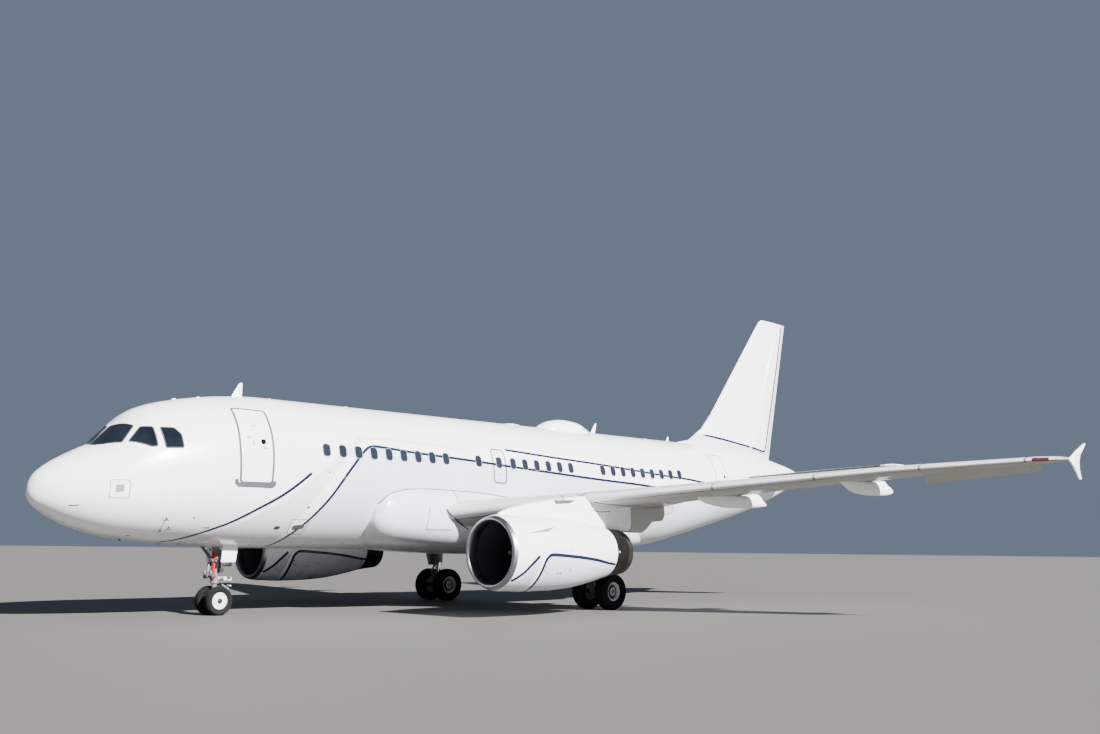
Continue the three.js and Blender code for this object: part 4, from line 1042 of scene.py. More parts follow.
def body_marks(tree, shader, places, x, station, height, colours):
    """The pale grey band, the cooler paint below the line, made darker as painted shade of the lower body, and a
    streaky film along the keel that is partly painted shade.
    """
    line, front, rear = (over_route(tree, station, height, route, 1.5, 5.5)
                         for route in (LINE_SIDE, BAND_FRONT, BAND_REAR))
    # Below the line: the cooler lower paint, partly painted shade
    paint_over(tree, shader, shared(tree, crisp(tree, line, -1), crisp(tree, station, 1, start=6.28)), colours.lower_paint_and_shade)
    band = shared(tree, crisp(tree, front, -1), crisp(tree, rear), crisp(tree, station, 1, start=3.22),
                  crisp(tree, station, -1, 1.5, 12.5))
    paint_over(tree, shader, band, colours.band)
    # Streaky darkening towards the keel: partly road film, partly painted shade of the underside
    streaks = add_node(tree, "Mapping", {"Vector": places, "Scale": (6.0, 0.25, 6.0)})
    keel_darkening = shared(tree, cloudy(tree, streaks.outputs[0], 1.0, 6.0), between(tree, height, 2.4, 1.85, 0.0, 0.85))
    paint_over(tree, shader, keel_darkening, linear("8B8377"))


def fin_marks(tree, shader, places, x, station, height, colours):
    """Cooler paint below and behind the line of the fin and rudder, made darker as painted shade."""
    low = over_route(tree, station, height, LINE_FIN + LINE_RUDDER[:4], 5.0, 12.0)
    paint_over(tree, shader, shared(tree, crisp(tree, low, -1), crisp(tree, station, -1, start=31.12)), colours.lower_paint_and_shade)
    back = over_route(tree, height, station, [(h, s) for s, h in LINE_RUDDER[3:]], 25.0, 35.0)
    paint_over(tree, shader, crisp(tree, back), colours.lower_paint_and_shade)


def cowl_marks(tree, shader, places, x, station, height, colours):
    """A pale patch before the white band, a cooler lower side that is partly painted shade, and film along the keel of
    the cowl.
    """
    across = worked(tree, "ABSOLUTE", worked(tree, "SUBTRACT", worked(tree, "ABSOLUTE", x), ENGINE_X))
    angle = worked(tree, "ARCTAN2", worked(tree, "SUBTRACT", height, ENGINE_HEIGHT), across)
    angle = worked(tree, "MULTIPLY", angle, 180 / math.pi)
    front, band, rear = (over_route(tree, angle, station, [(a, s) for s, a in route], 9.0, 15.0)
                         for route in (LINE_COWL_FRONT, COWL_BAND[:7], LINE_COWL_REAR[:7]))
    patch = shared(tree, crisp(tree, front), crisp(tree, band, -1), crisp(tree, angle, -1, 12.0, -20.0))
    paint_over(tree, shader, patch, colours.band)
    upper = over_route(tree, station, angle, LINE_COWL_REAR[6:], -90.0, 90.0)
    paint_over(tree, shader, shared(tree, crisp(tree, rear), crisp(tree, upper, -1, 0.6)), colours.lower_paint_and_shade)
    keel_darkening = shared(tree, cloudy(tree, places, 1.6, 6.0), between(tree, angle, -45.0, -85.0, 0.0, 0.3))
    paint_over(tree, shader, keel_darkening, linear("8E8578"))


def plain(name, colour, roughness, metallic=0.0, drift=None, gloss=None, grain=None, coat=0.0, sockets=None,
          places=level_places):
    """A surface with its noises: the colour's drift as scale, amount, second colour and stretch, the gloss as scale
    and two roughnesses, and the grain as scale, detail, depth and strength."""
    colour = linear(colour) if isinstance(colour, str) else colour
    material, tree, shader = new_surface(name, colour, roughness, metallic, {"Coat Weight": coat, **(sockets or {})})
    spots = places(tree)
    if drift:
        vary(tree, shader, spots, *drift)
    if gloss:
        roughen(tree, shader, spots, *gloss)
    if grain:
        emboss(tree, shader, cloudy(tree, spots, *grain[:2]), *grain[2:])
    return material


def dull_metal(name, code, worn):
    """Sheet metal that heat or weather has dulled, brighter where it was rubbed. Its dark grey on the tailplanes'
    leading edges is painted shade.
    """
    return plain(name, code, 0.42, 0.8, (3.0, 0.8, worn, (1, 0.3, 1)), (6.0, 0.32, 0.55))


def enamel(name, colour, worn, metallic=0.0):
    """Stove enamel on forged metal, with dust and grease in the hollows."""
    return plain(name, colour, 0.38, metallic, (10.0, 0.5, worn), (15.0, 0.3, 0.52), coat=0.18, places=ground_places)


def glazing(name, code, tint, roughness=0.06):
    """Acrylic or laminated pane over a dark cabin: nearly black, with a clear reflection."""
    return plain(name, code, roughness, drift=(1.4, 0.7, tint), sockets={"IOR": 1.49, "Specular IOR Level": 0.25})


def matt(name, code, worn):
    """Sealant, silicone seal or stencil paint: matt, a little uneven."""
    return plain(name, code, 0.7, drift=(7.0, 0.5, worn))


def lens(name, code):
    """Polycarbonate lamp cover, coloured through, glossy."""
    return plain(name, code, 0.08, drift=(20.0, 0.3, "3A3B3D"), coat=0.8, sockets={"IOR": 1.58})


def acoustic_liner(colours):
    """Perforated composite lining of the duct: a dark matt sheet with rows of small holes, drawn 4 cm apart."""
    material, tree, shader = new_surface("perforated_duct_lining", linear("45474B"), 0.5, 0.0, {})
    places = level_places(tree)
    cells = add_node(tree, "TexVoronoi", {"Vector": places, "Scale": 25.0, "Randomness": 0.1})
    emboss(tree, shader, cells.outputs["Distance"], 0.002, 0.5)
    vary(tree, shader, places, 2.0, 0.6, "3A3B3E")
    return material


FINISHES = {
    "paint": lambda c: topcoat("gloss_white_topcoat", c),
    "body": lambda c: topcoat("gloss_white_topcoat_banded", c, body_marks),
    "fin": lambda c: topcoat("gloss_white_topcoat_fin", c, fin_marks),
    "cowl": lambda c: topcoat("gloss_white_topcoat_cowl", c, cowl_marks),
    # Grey polyurethane enamel, flatter than the topcoat, weathered along the chord; on the inboard tailplanes, the
    # inner track fairings and the strakes it stands for painted shade
    "wing": lambda c: plain("grey_wing_enamel", c.wing, 0.42, drift=(1.2, 0.6, "9C9A93", (2.5, 0.35, 1)),
                            gloss=(3.0, 0.36, 0.52), coat=0.1),
    # Light grey on the slats, lighter than the wing's enamel as painted sky light on the leading edges, worn smooth at
    # the nose
    "slat": lambda c: plain("slat_grey_with_painted_sky_light", c.slat, 0.34, drift=(1.5, 0.5, "CFD0D1", (0.6, 2, 1)),
                            gloss=(3.0, 0.28, 0.42), coat=0.15),
    # Blue lines sprayed over masking film: the same gloss as the topcoat
    "line": lambda c: plain("blue_line_topcoat", c.line, 0.3, drift=(2.0, 0.4, "12163A"), coat=0.3),
    # Coated red fabric, creased, with a weave drawn 3 cm wide to show
    "sleeve": lambda c: plain("red_coated_fabric", c.sleeve, 0.55, drift=(12.0, 0.7, "8E1D24"),
                              grain=(35.0, 3.0, 0.006, 0.7), places=ground_places),
    # Aluminium sheet, spun and left bare: soft bright reflections that are drawn out along it
    "lip": lambda c: plain("spun_aluminium", "94969A", 0.36, 1.0, (5.0, 0.5, "808286", (1, 4, 1)), (9.0, 0.30, 0.42)),
    "nozzle": lambda c: dull_metal("heat_browned_titanium", "2C2B29", "231F1B"),
    "nozzle_rim": lambda c: dull_metal("rubbed_titanium", "46443F", "35312B"),
    # Dark grey metal on the tailplanes' leading edges: painted shade of their shaded lower face
    "dull_metal": lambda c: dull_metal("shade_darkened_aluminium", "5E6062", "4C4E50"),
    "core": lambda c: dull_metal("heat_stained_nickel_alloy", "57504A", "3B3A3D"),
    "duct": acoustic_liner,
    # Forged and machined titanium, satin
    "blade": lambda c: plain("satin_titanium", "6A6C70", 0.34, 0.9, (8.0, 0.5, "505255"), (12.0, 0.28, 0.42)),
    # Vulcanised rubber, matt, greyed by dust on the side walls
    "tyre": lambda c: plain("vulcanised_rubber", "101011", 0.85, drift=(9.0, 0.6, "161513"),
                            grain=(180.0, 3.0, 0.0012, 0.6), sockets={"Specular IOR Level": 0.2},
                            places=ground_places),
    "hub": lambda c: enamel("white_wheel_enamel", c.hub, "A5A39F"),
    "main_hub": lambda c: enamel("grey_wheel_enamel", "DADBDC", "A5A39F"),
    "pale_enamel": lambda c: enamel("pale_grey_gear_enamel", "B4B6B9", "9A9994"),
    # Near black on the wheels' inboard sides, hollows and holes and on the axle ends: painted shade over dark enamel
    "dark_enamel_and_shade": lambda c: enamel("wheel_enamel_and_painted_shade", "161617", "1E1E1F"),
    # Grey gear enamel, made darker as painted shade
    "leg": lambda c: enamel("grey_gear_enamel_and_shade", c.leg, "6A6862", 0.1),
    # Dark enamel of pipes and struts, and painted shade on the top of the nose leg
    "dark": lambda c: enamel("dark_gear_enamel_and_shade", "4A4B4D", "2E2E2F"),
    # Hard chrome on the sliding tubes, mirror-smooth
    "chrome": lambda c: plain("hard_chrome", "D8D9DA", 0.1, 1.0, gloss=(15.0, 0.07, 0.18), places=ground_places),
    "glass": lambda c: glazing("cabin_acrylic", "1E212A", "262B36"),
    "cockpit": lambda c: glazing("cockpit_laminated_glass", "0D1116", "1B222B", 0.04),
    "pale_zone": lambda c: matt("pale_marking_paint", "C9CAD0", "BFC0C6"),
    "seal": lambda c: matt("grey_silicone_seal", "46474C", "3F4043"),
    "rim": lambda c: matt("grey_window_seal", "7E8290", "747886"),
    "seam": lambda c: matt("panel_sealant", "85868B", "7A7B7F"),
    # Dark sealant, and also painted shade where it lines the slats' steps and the wheel wells
    "shadow": lambda c: matt("dark_sealant", "323336", "3B3C3F"),
    "grid": lambda c: matt("reddish_grey_grid", "8A7E7E", "6E6464"),
    "marking_red": lambda c: matt("red_marking_paint", "8E2A30", "98363B"),
    "yellow": lambda c: matt("yellow_marking_paint", "D9B23A", "C6A030"),
    "red_lens": lambda c: lens("red_polycarbonate", "4E1619"),
    "green_lens": lambda c: lens("green_polycarbonate", "0C5A32"),
    "clear_lens": lambda c: lens("clear_polycarbonate", "E6EAEC"),
    # Troweled screed, matt, with a slight drift of tone
    "floor": lambda c: plain("pale_screed", "5D5B57", 0.8, drift=(0.15, 0.35, "555350"), places=ground_places),
}
made = {}


def finish(name):
    """A finish by name, made when it is first used."""
    if name not in made:
        made[name] = FINISHES[name](bpy.context.scene.airliner_colours)
    return made[name]


# Settings

def hue(name, description, code):
    """A colour that a user may change."""
    return FloatVectorProperty(name=name, description=description, size=4, subtype="COLOR", min=0, max=1,
                               default=linear(code))


class AirlinerSizes(bpy.types.PropertyGroup):
    """Sizes that a user may change."""

    line_width: FloatProperty(name="Line width", description="Width of the painted lines", default=0.082,
                              min=0.01, max=0.3, unit="LENGTH")
    window_width: FloatProperty(name="Window width", description="Width of a cabin window", default=0.25,
                                min=0.1, max=0.5, unit="LENGTH")
    window_tall: FloatProperty(name="Window height", description="Height of a cabin window", default=0.36,
                               min=0.1, max=0.6, unit="LENGTH")
    fan_blades: IntProperty(name="Fan blades", description="Number of blades on each fan", default=36, min=12, max=48)
    spin_steps: IntProperty(name="Turned steps", description="Steps round a turned piece", default=96, min=24,
                            max=256)


class AirlinerColours(bpy.types.PropertyGroup):
    """Colours that a user may change."""

    paint: hue("Paint", "Main colour of the body", "F6F7F8")
    # The livery's cooler lower tone, made darker as painted shade of the lower sides
    lower_paint_and_shade: hue("Lower paint", "Cooler paint below the lines", "C9CDD5")
    band: hue("Band", "Pale grey band of the forward body", "D9DADE")
    line: hue("Lines", "Painted lines", "0B0F2E")
    wing: hue("Wings", "Enamel of the wing skins", "A9A8A2")
    # The slats' grey is lighter than the wing's, as painted sky light on the leading edges
    slat: hue("Slats", "Coating of the leading edges", "C4C5C6")
    hub: hue("Hubs", "Enamel of the nose wheels", "EDEDEB")
    # The legs' grey is darker than their enamel, as painted shade of the gear under the body
    leg: hue("Legs", "Enamel of the gear legs", "77797B")
    sleeve: hue("Leg cover", "Cover of the nose leg", "B4262C")


# Shapes shared by several pieces

def body_ring(station):
    ring = []
    for i in range(BODY_POINTS):
        angle = 2 * math.pi * (i + 0.5) / BODY_POINTS
        up = math.cos(angle)
        width, widest, flat, reach = arc_at(station, up > 0)
        ring.append((width * math.sin(angle), station, widest + math.copysign(flat, up) + up * reach))
    return ring


def body_stations(start, end):
    """Stations closer together where the body tapers."""
    nose_span, nose_steps, coarse, fine = 6.0, 54, 1.6, 0.28
    stations = {start, end}
    stations.update(nose_span * (i / nose_steps) ** 2 for i in range(1, nose_steps + 1))
    tail = 20.9
    stations.update(nose_span + coarse * i for i in range(int((tail - nose_span) / coarse)))
    stations.update(tail + fine * i for i in range(int((BODY[-1][0] - tail) / fine)))
    return sorted(s for s in stations if start <= s <= end)


def super_ring(x, station, width, bottom, top, squareness, points):
    middle, half = (bottom + top) / 2, (top - bottom) / 2
    ring = []
    for i in range(points):
        angle = 2 * math.pi * (i + 0.5) / points
        ring.append((x + width * power(math.sin(angle), 2 / squareness), station,
                     middle + half * power(math.cos(angle), 2 / squareness)))
    return ring


def belly_shape(name):
    stations = sorted({station for step in BELLY_STEPS for station in spread(*step)})
    rings = []
    for station in stations:
        width, bottom, top = eased(BELLY, station)
        rings.append(super_ring(0, station, width, bottom, top, BELLY_POWER, 96))
    return loft(name, rings)


def cut(obj, tool, operation="DIFFERENCE"):
    use_modifier(obj, "BOOLEAN", object=tool, operation=operation, solver="EXACT")
    bpy.data.objects.remove(tool)


def bay_box(side, gap, end_gap, outer_gap):
    xs = sorted((side * (BAY["inner"] + gap), side * (BAY["outer"] - outer_gap)))
    middle, height, tall = (BAY["front"] + BAY["rear"]) / 2, 1.7, 1.2
    bpy.ops.mesh.primitive_cube_add(size=1, location=((xs[0] + xs[1]) / 2, middle, height))
    return settled("bay", (xs[1] - xs[0], BAY["rear"] - BAY["front"] - 2 * end_gap, tall))


def blade_ring(height, start, chord, half, points):
    """An oval section of an upright blade."""
    turns = [2 * math.pi * i / points for i in range(points)]
    return [(half * math.sin(turn), start + chord * (0.5 - 0.5 * math.cos(turn)), height) for turn in turns]


def jack_pad(name, x, station, top, bottom):
    return rod(name, (x, station, top), (x, station, bottom), 0.06, 32)


def wicks(name, place, spots, side, reach, fall=0.0):
    """Static wicks on a trailing edge."""
    rods = []
    for x in spots:
        end = place(x, 1.0, 1)
        rods.append(rod("wick", (side * x, end.y - 0.03, end.z), (side * (x + 0.02), end.y + reach, end.z - fall),
                        0.005, 8, 0.003))
    finish_piece(joined(name, rods), "shadow")


def on_sides(name, make, surface, material, which="both", body="root"):
    """Draws a flat piece once for each side that has it and lays it on a surface."""
    for side_name, side in SIDES:
        if which in ("both", side_name):
            obj = lay(make(f"{name}_{side_name}"), surface, side)
            finish_piece(obj, material, body)


def oblong(middle, width, tall, turn=0.0):
    """The corners of a turned rectangle."""
    turned = Matrix.Rotation(math.radians(turn), 2)
    return [Vector(middle) + turned @ Vector((x * width / 2, y * tall / 2))
            for x, y in ((-1, -1), (-1, 1), (1, 1), (1, -1))]


def wing_ring(place, x, limit, side):
    """A section's points, from the trailing edge over the top, round the nose and back below."""
    shares = [min((0.5 + 0.5 * math.cos(math.pi * i / FOIL_STEPS)) ** 1.15, limit) for i in range(FOIL_STEPS + 1)]
    spacing = 1e-6
    upper = [place(x, share - spacing * (i if share == limit else 0), 1) for i, share in enumerate(shares[:-1])]
    lower = [place(x, share - spacing * (i if share == limit else 0), -1) for i, share in enumerate(shares[:-1])]
    nose = (place(x, 0.0, 1) + place(x, 0.0, -1)) / 2
    return [(side * p.x, p.y, p.z) for p in upper + [nose] + lower[::-1]]


def finned(name, place, rows, gap, side=1):
    """A wing surface through its rows, cut back where a moving surface sits: gap is its inner and outer end
    and the share of the chord where it begins."""
    inner, outer, share = gap
    rings = []
    for x in sorted({*rows, inner, outer}):
        if x == inner:
            rings += [wing_ring(place, x, 1.0, side), wing_ring(place, x + 1e-5, share, side)]
        elif x == outer:
            rings += [wing_ring(place, x, share, side), wing_ring(place, x + 1e-5, 1.0, side)]
        else:
            rings.append(wing_ring(place, x, share if inner < x < outer else 1.0, side))
    return loft(name, rings)


def nose_cover(inner, outer, upper, lower, proud, side, surface=wing_place):
    """A skin round the nose of a wing, a little proud of it, between two places across the span."""
    rings = []
    for x in spread(inner, outer, 10):
        shares = [(upper * ((14 - i) / 14) ** 2, 1) for i in range(14)]
        shares += [(lower * (i / 8) ** 2, -1) for i in range(9)]
        outside, inside = [], []
        for share, way in shares:
            here = surface(x, share, way)
            along = surface(x, share + 0.002, way) - surface(x, max(share - 0.002, 0.0), way)
            normal = Vector((0, -way * along.z, way * along.y)).normalized()
            outside.append(here + normal * proud)
            inside.append(here - normal * 0.01)
        rings.append([(side * p.x, p.y, p.z) for p in outside + inside[::-1]])
    return loft("nose_cover", rings)


def tyre_profile(radius, half, rim, grooves):
    """A tyre's profile, as place along the axle and radius; outboard is positive."""
    shoulder = 0.80 * half
    tread = []
    for i in range(grooves):
        centre = (i - (grooves - 1) / 2) * (1.25 * shoulder / grooves)
        tread += [(centre - 0.011, radius), (centre - 0.008, radius - 0.012), (centre + 0.008, radius - 0.012),
                  (centre + 0.011, radius)]
    tyre = [(-0.60 * half, rim), (-0.80 * half, rim + 0.02), (-0.97 * half, 0.45 * rim + 0.55 * radius),
            (-half, 0.35 * rim + 0.65 * radius), (-0.96 * half, 0.18 * rim + 0.82 * radius),
            (-shoulder, radius - 0.030), (-0.62 * half, radius - 0.006)] + tread
    tyre += [(-along, r) for along, r in reversed(tyre[:7])]
    return tyre


# Operators

class AIRLINER_OT_stage(bpy.types.Operator):
    """Pale floor, a low sun, a plain sky and the camera."""

    bl_idname = "airliner.stage"
    bl_label = "Stage"

    def execute(self, context):
        bpy.ops.mesh.primitive_plane_add(size=4000)
        floor = context.object
        floor.name = "floor"
        floor.data.materials.append(finish("floor"))
        world = bpy.data.worlds.new("studio")
        world.use_nodes = True
        context.scene.world = world
        background = world.node_tree.nodes["Background"]
        background.inputs["Color"].default_value = linear(SKY_COLOUR)
        background.inputs["Strength"].default_value = SKY_STRENGTH
        sun = bpy.data.lights.new("key", "SUN")
        sun.energy = SUN_STRENGTH
        sun.angle = math.radians(SUN_WIDTH)
        key = bpy.data.objects.new("key", sun)
        key.rotation_euler = Vector(SUN_SIDE).to_track_quat("Z", "Y").to_euler()
        context.collection.objects.link(key)
        camera = bpy.data.cameras.new("camera")
        camera.sensor_fit = "HORIZONTAL"
        camera.sensor_width = SENSOR
        camera.lens = SENSOR * FOCAL_SHARE
        camera.clip_end = 6000
        eye = bpy.data.objects.new("camera", camera)
        yaw, pitch, roll = (math.radians(v) for v in (CAMERA_YAW, CAMERA_PITCH, CAMERA_ROLL))
        ahead = Vector((math.cos(pitch) * math.sin(yaw), math.cos(pitch) * math.cos(yaw), math.sin(pitch)))
        right = Vector((math.cos(yaw), -math.sin(yaw), 0))
        up = right.cross(ahead)
        right, up = (right * math.cos(roll) + up * math.sin(roll), up * math.cos(roll) - right * math.sin(roll))
        turn = Matrix((right, up, -ahead)).transposed()
        eye.matrix_world = Matrix.Translation(CAMERA_PLACE) @ turn.to_4x4()
        context.collection.objects.link(eye)
        context.scene.camera = eye
        return {"FINISHED"}


class AIRLINER_OT_fuselage(bpy.types.Operator):
    """Body sections from the radome to the tail cone, with the power unit's outlet in its end."""

    bl_idname = "airliner.fuselage"
    bl_label = "Fuselage"

    def execute(self, context):
        for name, start, end in BODY_ENDS:
            first = start + SEAM if start else BODY[0][0]
            last = end - SEAM if end < BODY[-1][0] else end
            stations = [s for s in body_stations(first, last) if first <= s <= last]
            obj = loft(f"{name}_skin", [body_ring(s) for s in stations])
            if name == "tail_cone":
                with editing(obj, lambda co: co.y > last - 1e-4):
                    bpy.ops.mesh.select_mode(type="FACE")
                    bpy.ops.mesh.inset(thickness=OUTLET["rim"])
                    bpy.ops.mesh.extrude_region_move(
                        TRANSFORM_OT_translate={"value": (0, -OUTLET["depth"], -OUTLET["fall"])})
            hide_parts(name)
            finish_piece(obj, "body")
        return {"FINISHED"}


class AIRLINER_OT_belly(bpy.types.Operator):
    """Belly fairing with its two gear bays, their doors and its seams."""

    bl_idname = "airliner.belly"
    bl_label = "Belly fairing"

    def execute(self, context):
        fairing = belly_shape("belly_fairing_skin")
        for name, side in SIDES:
            leaf = bay_box(side, BAY["gap"], BAY["gap"], BAY["outer_gap"])
            whole = copied(fairing, "whole")
            raised = belly_shape("raised")
            raised.data.transform(Matrix.Translation((0, 0, BAY["leaf"])))
            cut(leaf, raised)
            cut(leaf, whole, "INTERSECT")
            leaf.name = leaf.data.name = f"main_bay_door_{name}_leaf"
            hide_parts(f"main_bay_door_{name}")
            # The banded body finish gives the leaf the cooler lower paint, which is partly painted shade
            finish_piece(leaf, "body", f"main_bay_door_{name}")
            pocket = bay_box(side, 0, 0, 0)
            raised = belly_shape("raised")
            raised.data.transform(Matrix.Translation((0, 0, BAY["depth"])))
            cut(pocket, raised)
            cut(fairing, pocket)
        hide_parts("belly_fairing")
        # The banded body finish gives the fairing the cooler lower paint, which is partly painted shade
        finish_piece(fairing, "body")
        for side_name, side in SIDES:
            seams = []
            for route in BELLY_SEAMS:
                path = curve_through(route, 0.08)
                seams.append(lay(ribbon("seam", path, 0.024), hull_skin, side))
            finish_piece(joined(f"belly_seams_{side_name}", seams), "seal")
        return {"FINISHED"}


class AIRLINER_OT_cabin_windows(bpy.types.Operator):
    """Cabin windows: a pane in a paler rim, modelled once and copied along each row."""

    bl_idname = "airliner.cabin_windows"
    bl_label = "Cabin windows"

    def execute(self, context):
        sizes = context.scene.airliner_sizes
        girth = girth_at(WINDOW_ROWS[0][0], WINDOW_HEIGHT)
        corners = oblong((0, 0), sizes.window_width, sizes.window_tall)
        stations = [first + WINDOW_PITCH * i for first, count in WINDOW_ROWS for i in range(count)] + [EXIT_WINDOW]
        for side_name, side in SIDES:
            pane = plate("pane", corners, WINDOW_CORNER, 0.0065)
            rim = ribbon("rim", rounded(corners, WINDOW_CORNER), WINDOW_RIM, True, 0.0085)
            for source, name, material in ((rim, "cabin_window_rims", "rim"), (pane, "cabin_window_panes", "glass")):
                twins = [copied(source, f"{name}_{i}", Matrix.Translation((s, girth, 0)))
                         for i, s in enumerate(stations)]
                bpy.data.objects.remove(source)
                row = lay(joined(f"{name}_{side_name}", twins), body_skin, side)
                finish_piece(row, material)
        return {"FINISHED"}


class AIRLINER_OT_cockpit_windows(bpy.types.Operator):
    """Cockpit panes, each sunk in its dark seal, with the wipers below the front ones."""

    bl_idname = "airliner.cockpit_windows"
    bl_label = "Cockpit windows"

    def execute(self, context):
        routes = {"front": [(s, girth_over(s, x)) for s, x in FRONT_PANE]}
        routes.update({name: unrolled(corners) for name, corners in SIDE_PANES.items()})
        for side_name, side in SIDES:
            panes, rims = [], []
            for name, corners in routes.items():
                route = [Vector(p) for p in corners]
                panes.append(lay(plate(f"cockpit_pane_{name}", route, 0.045, 0.005), body_skin, side))
                loop = dense(rounded(route, 0.045), 0.05)
                rims.append(lay(ribbon(f"cockpit_rim_{name}", loop, 0.030, True, 0.009), body_skin, side))
            finish_piece(joined(f"cockpit_panes_{side_name}", panes), "cockpit")
            finish_piece(joined(f"cockpit_rims_{side_name}", rims), "shadow")
            arm = [Vector((s, girth_over(s, x))) for s, x in WIPER]
            wiper = lay(ribbon("wiper", dense(arm, 0.06, False), 0.016, thickness=0.022), body_skin, side)
            finish_piece(joined(f"wiper_{side_name}", [wiper]), "shadow")
        return {"FINISHED"}


class AIRLINER_OT_doors(bpy.types.Operator):
    """Seals of the cabin doors, over-wing exits and hold doors, and the front doors' sills."""

    bl_idname = "airliner.doors"
    bl_label = "Doors"

    def execute(self, context):
        for name, (which, corners, radius, width, material) in DOORS.items():
            route = dense(rounded([Vector(p) for p in unrolled(corners)], radius), 0.08)
            on_sides(f"{name}_seal", lambda label: ribbon(label, route, width, True), body_skin, material, which)
        on_sides("front_door_sill", lambda label: plate(label, unrolled(SILL), 0.012, 0.006), body_skin, "seal")
        return {"FINISHED"}


class AIRLINER_OT_lines(bpy.types.Operator):
    """Painted blue lines of the body and the fin."""

    bl_idname = "airliner.lines"
    bl_label = "Painted lines"

    def execute(self, context):
        width = context.scene.airliner_sizes.line_width
        for name, route in (("line_front", LINE_FRONT), ("line_side", LINE_SIDE), ("line_upper", LINE_UPPER)):
            path = curve_through(unrolled(route), 0.1)
            on_sides(name, lambda label: ribbon(label, path, width, thickness=0.003), body_skin, "line")
        for name, route, body in (("line_fin", LINE_FIN, "root"), ("line_rudder", LINE_RUDDER, "rudder")):
            path = curve_through(route, 0.1)
            on_sides(name, lambda label: ribbon(label, path, width, thickness=0.003), fin_skin, "line", body=body)
        return {"FINISHED"}


class AIRLINER_OT_marks(bpy.types.Operator):
    """Small ports, vents, drains, outlined areas and probes on the body."""

    bl_idname = "airliner.marks"
    bl_label = "Ports and marks"

    def execute(self, context):
        for name, (station, height, width, tall, corner, turn, material) in MARKS.items():
            middle = (station, girth_at(station, height))
            corners = oblong(middle, width, tall, turn)
            on_sides(name, lambda label: plate(label, corners, corner, 0.004), body_skin, material)
        for name, corners in RED_OUTLINES.items():
            loop = dense(rounded([Vector(p) for p in unrolled(corners)], 0.06), 0.08)
            on_sides(name, lambda label: ribbon(label, loop, 0.016, True, 0.003), body_skin, "marking_red")
        for side_name, side in SIDES:
            for label, station, height, ahead in PROBES:
                foot = body_skin(station, girth_at(station, height))
                out = Vector((foot.x, 0, foot.z - section(station)[3])).normalized()
                tip = foot + out * 0.09
                places = [(side * p.x, p.y, p.z) for p in (foot - out * 0.02, foot + out * 0.06, tip,
                                                           tip + Vector((0, -ahead, 0.0)))]
                strut = rod("strut", places[0], places[2], 0.020, 12, 0.012)
                tube = rod("tube", (places[2][0], places[2][1] + 0.03, places[2][2]), places[3], 0.014, 12, 0.010)
                finish_piece(joined(f"{label}_{side_name}", [strut, tube]), "shadow")
        return {"FINISHED"}


class AIRLINER_OT_fittings(bpy.types.Operator):
    """Antennas, the domed cover, crown bumps, the beacon, keel drains and the nose jacking pad."""

    bl_idname = "airliner.fittings"
    bl_label = "Antennas and fittings"

    def execute(self, context):
        for name, (station, length, top, rake) in BLADES.items():
            rings = []
            for height, start, chord, half in (
                    (BLADE_FOOT, station, length, 0.02),
                    (BLADE_FOOT + 0.1, station + 0.03, length * 0.95, 0.018),
                    (top - 0.03, station + rake + length * 0.18, length * 0.36, 0.009),
                    (top, station + rake + length * 0.34, length * 0.20, 0.004)):
                rings.append(blade_ring(height, start, chord, half, 20))
            finish_piece(loft(f"antenna_{name}", rings), "paint")
        rings = []
        for station in spread(DOME[0][0], DOME[-1][0], 40):
            width, top = eased(DOME, station)
            rings.append(super_ring(0, station, width, 5.5, top, 2.2, 72))
        dome = loft("dome_antenna_cover_skin", rings)
        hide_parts("dome_antenna_cover")
        finish_piece(dome, "paint")
        for i, (x, station, wide, long, tall, material) in enumerate(CROWN_BUMPS):
            height = body_skin(station, girth_over(station, x)).z
            bump = spun("bump", [(height - 0.03, 1.0), (height, 1.0), (height + tall * 0.7, 0.75),
                                 (height + tall, 0.35), (height + tall, 0.0)], (0, 0, 0), "Z", 24, False)
            bump.data.transform(Matrix.Translation((x, station, 0)) @ Matrix.Diagonal((wide, long, 1, 1)))
            bump.name = f"crown_bump_{i + 1}"
            close_up(bump)
            finish_piece(bump, material)
        beacon = spun("beacon", [(0, 0.075), (0.045, 0.075), (0.075, 0.05), (0.09, 0.0)], (0, 0, 0), "Z", 32, False)
        beacon.data.transform(Matrix.Translation(BEACON))
        finish_piece(beacon, "red_lens")
        for i, (station, length, drop) in enumerate(KEEL_DRAINS):
            skin = section(station)[2] if station < 8.9 or station > 21.3 else eased(BELLY, station)[1]
            rings = [blade_ring(skin + 0.03, station, length, 0.012, 16),
                     blade_ring(skin - drop, station + length * 0.45, length * 0.5, 0.006, 16)]
            finish_piece(loft(f"keel_mast_{i + 1}", rings), "seal")
        finish_piece(jack_pad("nose_jack_pad", *NOSE_PAD), "leg")
        return {"FINISHED"}


class AIRLINER_OT_wings(bpy.types.Operator):
    """Wing skins, ailerons, tip fences and jacking pads."""

    bl_idname = "airliner.wings"
    bl_label = "Wings"

    def execute(self, context):
        for name, side in SIDES:
            spots = {*(row[0] for row in WING), *spread(2.2, 16.4, 15)}
            wing = finned(f"wing_{name}_skin", wing_place, spots,
                          (AILERON["inner"], AILERON["outer"], AILERON["share"] - 0.035), side)
            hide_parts(f"wing_{name}")
            finish_piece(wing, "wing")
            for node, bevel, material, body, slot in (
                    (f"aileron_{name}", 0.004, "wing", f"aileron_{name}", "wing_grey"),
                    (f"wingtip_fence_{name}", 0.016, "paint", "root", "airframe_paint")):
                finish_piece(refined(node, f"{node}_skin", bevel), material, body, place=False)
            finish_piece(jack_pad(f"wing_jack_pad_{name}", side * WING_PAD[0], *WING_PAD[1:]), "wing")
            wicks(f"wing_wicks_{name}", wing_place, WICKS, side, 0.14, 0.01)
        return {"FINISHED"}


